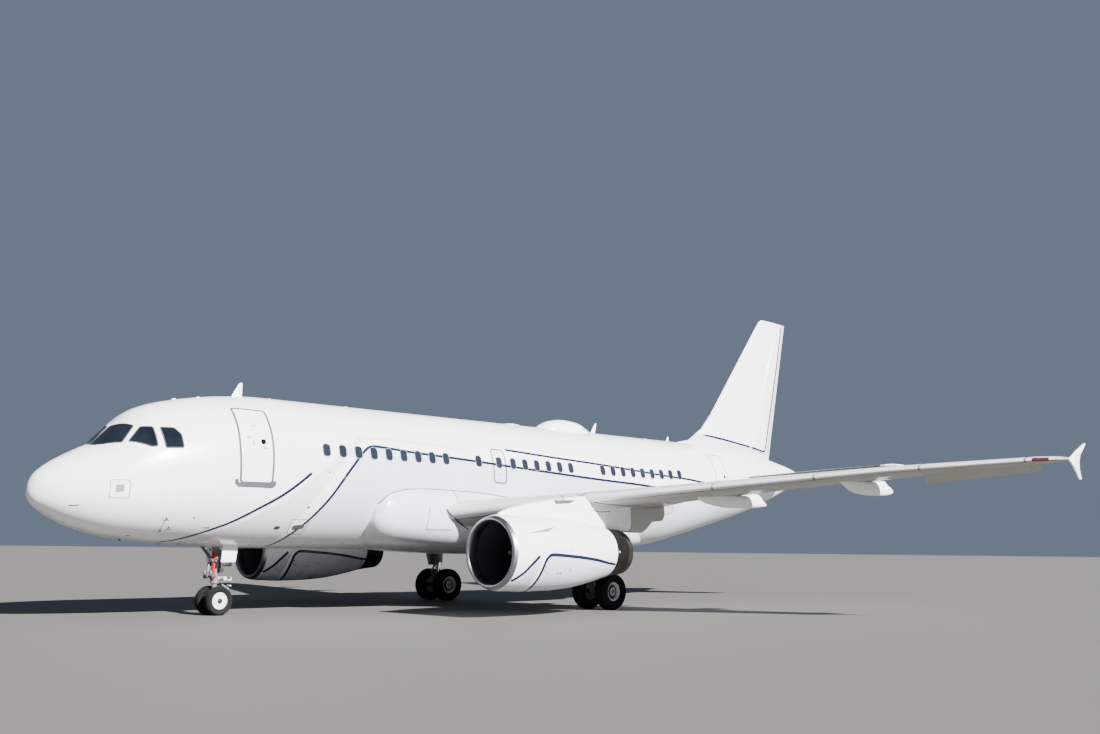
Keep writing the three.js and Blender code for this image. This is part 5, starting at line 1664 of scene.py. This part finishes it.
class AIRLINER_OT_wing_details(bpy.types.Operator):
    """Slats, tip lamps, sealed joints of the wing's skins, and the seal at its root."""

    bl_idname = "airliner.wing_details"
    bl_label = "Slats and joints"

    def execute(self, context):
        for name, side in SIDES:
            # Slat covers, lighter than the wing as painted sky light
            covers = [nose_cover(inner, outer, 0.15, 0.030, 0.004, side) for inner, outer in SLATS]
            finish_piece(joined(f"slats_{name}", covers), "slat")
            lamp = nose_cover(TIP_LAMP[0], TIP_LAMP[1], 0.035, 0.028, 0.007, side)
            lamp.name = f"tip_lamp_{name}"
            finish_piece(lamp, "red_lens" if side > 0 else "green_lens")

            def joint(label, places, under, width, thickness, step=None):
                """A ribbon over or under the wing, along places of x and share of the chord."""
                path = [Vector((reach_at(x, share), x) if under else (x, reach_at(x, share))) for x, share in places]
                path = dense(path, step, False) if step else path
                return lay(ribbon(label, path, width, thickness=thickness), wing_under if under else wing_over, side)

            seams = [joint("joint", route, under, 0.016, 0.0015, 0.25)
                     for under, routes in enumerate((TOP_JOINTS, UNDER_JOINTS)) for route in routes]
            # A dark line under the rear edge of each slat: painted shade of the step there
            steps = [joint("step", [(x, 0.036) for x in spread(inner, outer, 14)], True, 0.022, 0.003)
                     for inner, outer in SLATS]
            for x in SLAT_GAPS:
                steps.append(joint("gap", [(x, share) for share in spread(0.0, 0.15, 12)], False, 0.022, 0.0055))
                steps.append(joint("gap", [(x, share) for share in spread(0.001, 0.05, 8)], True, 0.022, 0.0055))
            path = [Vector((station - straight(WING, x)[0], x)) for x, station in UNDER_CURVE]
            steps.append(lay(ribbon("curve", curve_through(path, 0.1), 0.045, thickness=0.006), wing_under, side))
            # A dark plate round the main leg's foot: painted shade of the wheel well
            corners = [Vector((station - straight(WING, x)[0], x)) for x, station in LEG_WELL]
            steps.append(lay(plate("well", corners, 0.06, 0.004), wing_under, side))
            finish_piece(joined(f"wing_joints_{name}", seams), "seam")
            finish_piece(joined(f"wing_steps_{name}", steps), "shadow")
            root = piping(f"wing_root_seal_{name}", [(side * x, station, height) for x, station, height in ROOT_SEAL],
                          0.026)
            finish_piece(root, "shadow")
        return {"FINISHED"}


class AIRLINER_OT_track_fairings(bpy.types.Operator):
    """Fairings of the flap tracks under each wing."""

    bl_idname = "airliner.track_fairings"
    bl_label = "Flap track fairings"

    def execute(self, context):
        for name, side in SIDES:
            for track, (x, rows) in TRACKS.items():
                lead, lead_height, trail, trail_height, _ = straight(WING, x)
                squareness = 7 if track == "inner" else 2.5
                rings = []
                for station in spread(rows[0][0], rows[-1][0], 40):
                    width, bottom, rise = eased(rows, station)
                    share = min((station - lead) / (trail - lead), 1.0)
                    top = max(lead_height + share * (trail_height - lead_height) + rise, bottom + 0.04)
                    rings.append(super_ring(side * x, station, width, bottom, top, squareness, 48))
                fairing = loft(f"track_fairing_{track}_{name}_skin", rings)
                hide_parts(f"track_fairing_{track}_{name}")
                # The inner fairing takes the grey wing enamel as painted shade under the wing; the others are white
                finish_piece(fairing, "wing" if track == "inner" else "paint")
        return {"FINISHED"}


class AIRLINER_OT_tail(bpy.types.Operator):
    """Fin, rudder, tailplanes and elevators, the tailplanes' edge covers and the wicks at their tips."""

    bl_idname = "airliner.tail"
    bl_label = "Tail"

    def execute(self, context):
        for name, body in (("fin", "root"), ("rudder", "rudder")):
            obj = refined(name, f"{name}_skin", 0.006)
            finish_piece(obj, "fin", body, place=False)
        for name, side in SIDES:
            for part, body in (("tailplane", "root"), ("elevator", f"elevator_{name}")):
                obj = refined(f"{part}_{name}", f"{part}_{name}_skin", 0.005)
                # Inboard of the white tips the tailplanes and elevators take the grey wing enamel as painted shade
                two_finishes(obj, "paint", "wing", lambda face: abs(face.center.x) < TAILPLANE_SHADE_END)
                finish_piece(obj, None, body, place=False)
            # The leading edge cover's dark grey is painted shade
            cover = nose_cover(1.2, 5.8, 0.06, 0.05, 0.003, side, tail_place)
            cover.name = f"tailplane_edge_{name}"
            finish_piece(cover, "dull_metal")
            wicks(f"tail_wicks_{name}", tail_place, TAIL_WICKS, side, 0.13)
        return {"FINISHED"}


class AIRLINER_OT_nacelles(bpy.types.Operator):
    """Inlet lips, cowls, nozzles and exhaust plugs, with lines, seams, latches and strakes."""

    bl_idname = "airliner.nacelles"
    bl_label = "Nacelles"

    def execute(self, context):
        sizes = context.scene.airliner_sizes
        steps = sizes.spin_steps
        outside = [LIP["front"] + (LIP["rear"] - LIP["front"]) * (i / 12) ** 2 for i in range(13)]
        inside = [LIP["front"] + (LIP["inner_rear"] - LIP["front"]) * (i / 14) ** 2 for i in range(1, 15)]
        lip = [(s, cowl_radius(s)) for s in reversed(outside)] + [(s, throat_radius(s)) for s in inside]
        stations = spread(LIP["rear"] + 0.0003, COWL[0][0], 14) + spread(COWL[0][0], COWL[-1][0], 36)[1:]
        cowl = [(s, cowl_radius(s)) for s in stations]
        cowl += [(s, eased(DUCT, s)[0]) for s in spread(DUCT[-1][0], DUCT[0][0], 30)]
        nozzle = [(s, eased(NOZZLE, s)[0]) for s in spread(NOZZLE[0][0], NOZZLE[-1][0], 12)]
        rim = [(s, r + 0.006) for s, r in nozzle[-4:]] + [(s, r - 0.022) for s, r in reversed(nozzle[-4:])]
        nozzle += [(s, r - 0.018) for s, r in reversed(nozzle)]
        core = [(11.29, 0.0), (11.29, 0.8176), (11.70, 0.8004), (11.70, 0.56)]
        core += [(s, eased(CORE, s)[0]) for s in spread(12.0, 14.58, 30)]
        for name, side in SIDES:
            centre = (side * ENGINE_X, 0, ENGINE_HEIGHT)
            for part, profile, material, slot in (("inlet_lip", lip, "lip", "bare_aluminium"),
                                                  ("engine_cowl", cowl, "paint", "airframe_paint"),
                                                  ("exhaust_nozzle", nozzle, "nozzle", "nozzle_steel"),
                                                  ("engine_core", core, "core", "engine_dark")):
                obj = spun(f"{part}_{name}_skin", profile, centre, "Y", steps, part != "engine_core")
                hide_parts(f"{part}_{name}")
                if part != "engine_cowl":
                    finish_piece(obj, material)
                    continue
                two_finishes(obj, "cowl", "duct", lambda face: face.normal.dot(Vector(
                    (face.center.x - centre[0], 0, face.center.z - centre[2]))) < 0)
                finish_piece(obj, None)
            finish_piece(spun(f"nozzle_rim_{name}", rim, centre, "Y", steps), "nozzle_rim")
            for place, mirror in (("outboard", None), ("inboard", ENGINE_X)):
                front, rear = (resampled([cowl_place(*p) for p in route], 30)
                               for route in (LINE_COWL_FRONT, COWL_BAND[2:7]))
                lines = [ribbon("line", curve_through([cowl_place(*p) for p in route], 0.06), 1.1 * sizes.line_width,
                                thickness=0.0035) for route in (LINE_COWL_FRONT, LINE_COWL_REAR)]
                pale = [ribbon("edge", curve_through([cowl_place(*p) for p in COWL_BAND], 0.06), 0.012,
                               thickness=0.0012),
                        strip("zone", front, rear, thickness=0.0008),
                        ribbon("seam", [cowl_place(COWL_SEAM, angle) for angle in spread(-86, 62, 50)], 0.014,
                               thickness=0.0015)]
                marks = [plate("latch", oblong(cowl_place(*p), 0.05, 0.04), 0.016, 0.003) for p in COWL_DOTS]
                marks.append(ribbon("keel", [cowl_place(s, -89.4) for s in spread(9.95, 13.8, 40)], 0.012))
                for group, label, material in ((lines, "cowl_lines", "line"), (marks, "cowl_latches", "seal"),
                                               (pale, "cowl_zones", "pale_zone")):
                    obj = joined(f"{label}_{place}_{name}", [lay(piece, cowl_skin, 1, mirror) for piece in group])
                    if side < 0:
                        obj.data.transform(MIRROR)
                        close_up(obj)
                    finish_piece(obj, material)
            # The strake takes the grey wing enamel as its painted self-shadow
            finish_piece(strake(f"strake_{name}", side), "wing")
            spot = oblong(cowl_place(13.99, 1.6), 0.06, 0.05)
            badge = lay(plate(f"nozzle_plate_{name}", spot, 0.015, 0.004), nozzle_skin, side)
            finish_piece(badge, "paint")
        return {"FINISHED"}


class AIRLINER_OT_fans(bpy.types.Operator):
    """Fan rotors: a spinner and one twisted blade, copied round the hub."""

    bl_idname = "airliner.fans"
    bl_label = "Fans"

    def execute(self, context):
        blades = context.scene.airliner_sizes.fan_blades
        for name, side in SIDES:
            centre = Vector((side * ENGINE_X, 0, ENGINE_HEIGHT))
            front, back, root = FAN["front"], FAN["back"], FAN["root"]
            spinner = [(FAN["nose"], 0.0), (FAN["nose"] + 0.012, 0.035), (FAN["nose"] + 0.06, 0.085),
                       (FAN["nose"] + 0.18, 0.152), (front, root), (back, root), (back, 0.0)]
            hub = spun("hub", spinner, centre, "Y", 48, False)
            rings = []
            for share in spread(0.0, 1.0, 9):
                radius = root - 0.02 + share * (FAN["tip"] - root + 0.02)
                pitch = math.radians(FAN["root_pitch"] + (FAN["tip_pitch"] - FAN["root_pitch"]) * share ** 0.8)
                chord, half = FAN["chord"] * (1 + 0.15 * share), FAN["half"] * (1 - 0.6 * share)
                ring = []
                for k in range(16):
                    turn = 2 * math.pi * k / 16
                    along = -math.cos(turn) * chord / 2
                    off = half * math.sin(turn) + FAN["camber"] * (1 - (2 * along / chord) ** 2)
                    sweep = along * math.sin(pitch) + off * math.cos(pitch)
                    station = (front + back) / 2 + along * math.cos(pitch) - off * math.sin(pitch)
                    angle = side * sweep / radius
                    ring.append((radius * math.sin(angle), station, radius * math.cos(angle)))
                rings.append(ring)
            blade = loft("blade", rings)
            parts = [hub]
            for i in range(blades):
                turned = Matrix.Translation(centre) @ Matrix.Rotation(2 * math.pi * i / blades, 4, "Y")
                parts.append(copied(blade, f"blade_{i}", turned))
            bpy.data.objects.remove(blade)
            fan = joined(f"fan_{name}_rotor", parts)
            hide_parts(f"fan_{name}")
            finish_piece(fan, "blade", f"fan_{name}")
        return {"FINISHED"}


class AIRLINER_OT_pylons(bpy.types.Operator):
    """Engine pylons with their outlets and seams."""

    bl_idname = "airliner.pylons"
    bl_label = "Pylons"

    def execute(self, context):
        for name, side in SIDES:
            rings = [super_ring(side * ENGINE_X, s, *eased(PYLON, s), 4, 48) for s in spread(9.9, 15.2, 50)]
            pylon = loft(f"pylon_{name}_skin", rings)
            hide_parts(f"pylon_{name}")
            finish_piece(pylon, "paint")
            outlet = plate(f"pylon_outlet_{name}", [Vector(p) for p in PYLON_OUTLET], 0.01, 0.012)
            finish_piece(lay(outlet, pylon_skin, side), "seal")
            seam = lay(ribbon(f"pylon_seam_{name}", curve_through(PYLON_SEAM, 0.06), 0.020), pylon_skin, side)
            finish_piece(seam, "seal")
            mast = rod("mast", (side * 5.95, 12.20, 3.16), (side * 5.97, 12.16, 3.30), 0.012, 10)
            arm = rod("arm", (side * 5.97, 12.17, 3.29), (side * 5.97, 12.03, 3.30), 0.010, 10)
            finish_piece(joined(f"pylon_mast_{name}", [mast, arm]), "seal")
        return {"FINISHED"}


class AIRLINER_OT_wheels(bpy.types.Operator):
    """Tyres and wheels of all three legs."""

    bl_idname = "airliner.wheels"
    bl_label = "Wheels"

    def execute(self, context):
        wheels = [(f"nose_{side}", way, "nose_wheels", True) for side, way in SIDES]
        for side, way in SIDES:
            wheels += [(f"main_{side}_outer", way, f"main_wheels_{side}", False),
                       (f"main_{side}_inner", -way, f"main_wheels_{side}", False)]
        for name, way, body, small in wheels:
            low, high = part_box(f"{name}_tyre")
            rim_low, rim_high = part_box(f"{name}_wheel")
            centre = (low + high) / 2
            shape, rim_share, grooves, enamel_name, bolts, holes = WHEELS["nose" if small else "main"]
            radius, half, rim = centre.z, (high.x - low.x) / 2, (rim_high.z - rim_low.z) / 2 * rim_share
            tyre = tyre_profile(radius, half, rim, grooves)
            obj = spun(f"{name}_tyre_carcass", [(centre.x + way * a, r) for a, r in tyre], centre, "X", 72)
            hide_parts(f"{name}_tyre")
            finish_piece(obj, "tyre", body, place=False, angle=45)

            def studs(label, count, first, ring, proud, long, thick, sides):
                """Short rods round the axle, on the outboard face."""
                rods = []
                for i in range(count):
                    angle = 2 * math.pi * (i + first) / count
                    spot = Vector((centre.x + way * proud * half, centre.y + ring * rim * math.cos(angle),
                                   centre.z + ring * rim * math.sin(angle)))
                    rods.append(rod(label, spot, spot + Vector((way * long, 0, 0)), thick * rim, sides))
                return rods

            disc = spun("disc", [(centre.x + way * a * half, r * rim) for a, r in shape], centre, "X", 72)
            parts = [disc, *studs("bolt", *bolts)]
            hub = joined(f"{name}_wheel_disc", parts)

            def dark(face):
                """The inboard side, painted near black as shade, and the hollow round the axle, dark partly as painted
                shade.
                """
                out = way * (face.center.x - centre.x) / half
                round_of = math.hypot(face.center.y - centre.y, face.center.z - centre.z) / rim
                return out < 0 or (round_of < 0.32 if small else 0.24 < round_of < 0.80 and out < 0.42)

            two_finishes(hub, enamel_name, "dark_enamel_and_shade", dark)
            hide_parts(f"{name}_wheel")
            finish_piece(hub, None, body, place=False, angle=30)
            # Dark studs for the holes in the disc: painted shade behind it
            finish_piece(joined(f"{name}_wheel_holes", studs("hole", *holes)), "dark_enamel_and_shade", body, place=False)
            if not small:
                cover = spun("cap", [(centre.x + way * a * half, r * rim) for a, r in HUB_CAP], centre, "X", 36, False)
                finish_piece(joined(f"{name}_hub_cap", [cover]), "hub", body, place=False)
        return {"FINISHED"}


class AIRLINER_OT_nose_gear(bpy.types.Operator):
    """Nose leg with its red cover, lamps, steering actuator, pipes, strut and doors."""

    bl_idname = "airliner.nose_gear"
    bl_label = "Nose gear"

    def execute(self, context):
        low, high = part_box("nose_left_tyre")
        foot = Vector((0, (low.y + high.y) / 2, 0))
        # The drag strut and the top of the leg in dark enamel, the top as painted shade under the body, and the ends
        # of the axle near black as painted shade
        dull = {"nose_leg": lambda face: face.center.y < foot.y - 0.13 or face.center.z > 1.66,
                "nose_strut": lambda face: abs(face.center.x) > 0.30}
        for node, material, body in (("nose_leg", "leg", "root"), ("nose_strut", "leg", "nose_steering"),
                                     ("nose_door_left", "paint", "root"), ("nose_door_right", "paint", "root")):
            obj = refined(node, f"{node}_finished", 0.004)
            two_finishes(obj, material, "dark" if node == "nose_leg" else "dark_enamel_and_shade", dull.get(node, lambda face: 0))
            finish_piece(obj, None, body, place=False, angle=40)
        creases = [(z, 0.101 + 0.005 * (i % 2)) for i, z in enumerate(spread(1.012, 1.66, 18))]
        for name, profile, body in (("nose_leg_cover", [(1.012, 0.096)] + creases + [(1.66, 0.096)], "root"),
                                    ("nose_leg_cover_hem", [(0.905, 0.107), (0.905, 0.116), (0.95, 0.119),
                                                            (1.002, 0.116), (1.002, 0.107)], "nose_steering")):
            cover = outline(name, [foot + Vector((r * math.cos(COVER[1]), r * math.sin(COVER[1]), z))
                                   for z, r in profile])
            with editing(cover):
                bpy.ops.mesh.edge_face_add()
                bpy.ops.mesh.spin(steps=20, angle=COVER[1] - COVER[0], center=foot, axis=(0, 0, 1))
            close_up(cover)
            finish_piece(cover, "sleeve", body, place=False, angle=60)

        def at(x, aft, height):
            return (x, foot.y + aft, height)

        bezel = [(0.206, 0.086), (0.222, 0.086), (0.222, 0.074), (0.206, 0.074)]
        glass = [(0.208, 0.0), (0.208, 0.075), (0.220, 0.072), (0.228, 0.045), (0.231, 0.0)]
        for label, profile, material in (("bezel", bezel, "chrome"), ("glass", glass, "clear_lens")):
            lamps = [spun(label, [(foot.y - ahead, r) for ahead, r in profile], (way * 0.15, 0, 1.11), "Y", 32,
                          label == "bezel") for way in (1, -1)]
            finish_piece(joined(f"taxi_lamp_{label}{'s' if label == 'bezel' else 'es'}", lamps), material, place=False)
        white = [rod("actuator", at(-0.24, 0.165, 0.955), at(0.24, 0.165, 0.955), 0.05, 24),
                 rod("cap", at(0.20, 0.165, 0.955), at(0.255, 0.165, 0.955), 0.055, 24),
                 rod("cap", at(-0.255, 0.165, 0.955), at(-0.20, 0.165, 0.955), 0.055, 24),
                 block("valve", at(-0.05, 0.10, 1.09), at(0.10, 0.20, 1.22), 0.012),
                 rod("lever", at(0.12, 0.20, 0.93), at(0.14, 0.40, 0.90), 0.018, 12),
                 rod("lever", at(0.14, 0.40, 0.90), at(0.14, 0.41, 0.99), 0.018, 12),
                 rod("brace", at(-0.14, -0.10, 1.52), at(-0.13, -0.13, 1.14), 0.015, 12)]
        finish_piece(joined("steering_actuator", white), "pale_enamel", place=False, angle=40)
        dark = [piping("pipe", [at(x, 0.112, 1.72), at(x * 1.1, 0.135, 1.5), at(x, 0.14, 1.22),
                                at(x * 1.4, 0.16, 1.13)], 0.012) for x in (-0.05, 0.0, 0.05)]
        finish_piece(joined("nose_leg_pipes", dark), "dark", place=False, angle=40)
        strut = [rod("towing_arm", at(-0.05, -0.10, 0.47), at(-0.05, -0.165, 0.47), 0.014, 12),
                 rod("towing_arm", at(0.05, -0.10, 0.47), at(0.05, -0.165, 0.47), 0.014, 12),
                 rod("link_pin", at(-0.10, 0.43, 0.76), at(0.10, 0.43, 0.76), 0.018, 14),
                 rod("link_pin", at(-0.085, 0.08, 0.95), at(0.085, 0.08, 0.95), 0.020, 14)]
        finish_piece(joined("nose_strut_pins", strut), "hub", "nose_steering", place=False, angle=40)
        for side_name, side in SIDES:
            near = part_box(f"nose_door_{side_name}")[0].y
            stay = [rod("stay", (side * 0.10, foot.y + 0.02, 1.62), (side * 0.375, near + 0.25, 1.50), 0.014, 12),
                    rod("hinge", (side * 0.34, near + 0.10, 1.70), (side * 0.40, near + 0.10, 1.70), 0.02, 12),
                    block("bracket", (side * 0.365, near + 0.06, 1.27), (side * 0.40, near + 0.32, 1.375), 0.006)]
            finish_piece(joined(f"nose_door_stay_{side_name}", stay), "dark_enamel_and_shade", place=False)
        return {"FINISHED"}


class AIRLINER_OT_main_gear(bpy.types.Operator):
    """Main legs with their doors, pipes and pistons."""

    bl_idname = "airliner.main_gear"
    bl_label = "Main gear"

    def execute(self, context):
        for name, side in SIDES:
            for node, bevel in ((f"main_leg_{name}", 0.006), (f"main_leg_door_{name}", 0.004)):
                obj = refined(node, f"{node}_finished", bevel)
                finish_piece(obj, "leg", place=False, angle=40)
            low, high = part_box(f"main_{name}_outer_tyre")
            inner_low, inner_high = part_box(f"main_{name}_inner_tyre")
            axle = Vector(((low.x + high.x + inner_low.x + inner_high.x) / 4, (low.y + high.y) / 2, low.z))
            parts = []
            for off, aft in ((0.06, -0.14), (-0.06, -0.145), (0.0, 0.15)):
                places = [(2.50, off, aft), (1.9, off, aft), (1.38, off, aft * 1.02), (1.2, off * 0.8, aft * 0.75),
                          (0.95, off, aft * 0.72)]
                parts.append(piping("pipe", [(axle.x + x, axle.y + y, z) for z, x, y in places], 0.013))
            for height in (1.55, 1.95, 2.30):
                parts.append(block("clip", (axle.x - 0.09, axle.y - 0.165, height),
                                   (axle.x + 0.09, axle.y - 0.125, height + 0.035)))
            finish_piece(joined(f"main_leg_pipes_{name}", parts), "dark", place=False)
            tube = spun(f"main_leg_piston_{name}", [(0.78, 0.0905), (1.325, 0.0905), (1.325, 0.087), (0.78, 0.087)],
                        (axle.x, axle.y, 0), "Z", 40)
            finish_piece(tube, "chrome", place=False)
        return {"FINISHED"}


OPERATORS = (
    AIRLINER_OT_stage, AIRLINER_OT_fuselage, AIRLINER_OT_belly, AIRLINER_OT_cabin_windows,
    AIRLINER_OT_cockpit_windows, AIRLINER_OT_doors, AIRLINER_OT_lines, AIRLINER_OT_marks, AIRLINER_OT_fittings,
    AIRLINER_OT_wings, AIRLINER_OT_wing_details, AIRLINER_OT_track_fairings, AIRLINER_OT_tail,
    AIRLINER_OT_nacelles, AIRLINER_OT_fans, AIRLINER_OT_pylons, AIRLINER_OT_wheels, AIRLINER_OT_nose_gear,
    AIRLINER_OT_main_gear,
)


class AIRLINER_PT_build(bpy.types.Panel):
    """Sizes and colours of the airliner, and a button for each group of pieces."""

    bl_idname = "AIRLINER_PT_build"
    bl_label = "Airliner"
    bl_space_type = "VIEW_3D"
    bl_region_type = "UI"
    bl_category = "Airliner"

    def draw(self, context):
        for group in (context.scene.airliner_sizes, context.scene.airliner_colours):
            for name in group.__annotations__:
                self.layout.prop(group, name)
        for operator in OPERATORS:
            self.layout.operator(operator.bl_idname)


CLASSES = (AirlinerSizes, AirlinerColours, *OPERATORS, AIRLINER_PT_build)


def register():
    for cls in CLASSES:
        bpy.utils.register_class(cls)
    bpy.types.Scene.airliner_sizes = PointerProperty(type=AirlinerSizes)
    bpy.types.Scene.airliner_colours = PointerProperty(type=AirlinerColours)


def unregister():
    del bpy.types.Scene.airliner_sizes
    del bpy.types.Scene.airliner_colours
    for cls in reversed(CLASSES):
        bpy.utils.unregister_class(cls)


def main():
    register()
    bpy.ops.airliner.stage()
    bpy.ops.airliner.fuselage()
    bpy.ops.airliner.belly()
    bpy.ops.airliner.cabin_windows()
    bpy.ops.airliner.cockpit_windows()
    bpy.ops.airliner.doors()
    bpy.ops.airliner.lines()
    bpy.ops.airliner.marks()
    bpy.ops.airliner.fittings()
    bpy.ops.airliner.wings()
    bpy.ops.airliner.wing_details()
    bpy.ops.airliner.track_fairings()
    bpy.ops.airliner.tail()
    bpy.ops.airliner.nacelles()
    bpy.ops.airliner.fans()
    bpy.ops.airliner.pylons()
    bpy.ops.airliner.wheels()
    bpy.ops.airliner.nose_gear()
    bpy.ops.airliner.main_gear()


if __name__ == "__main__":
    main()
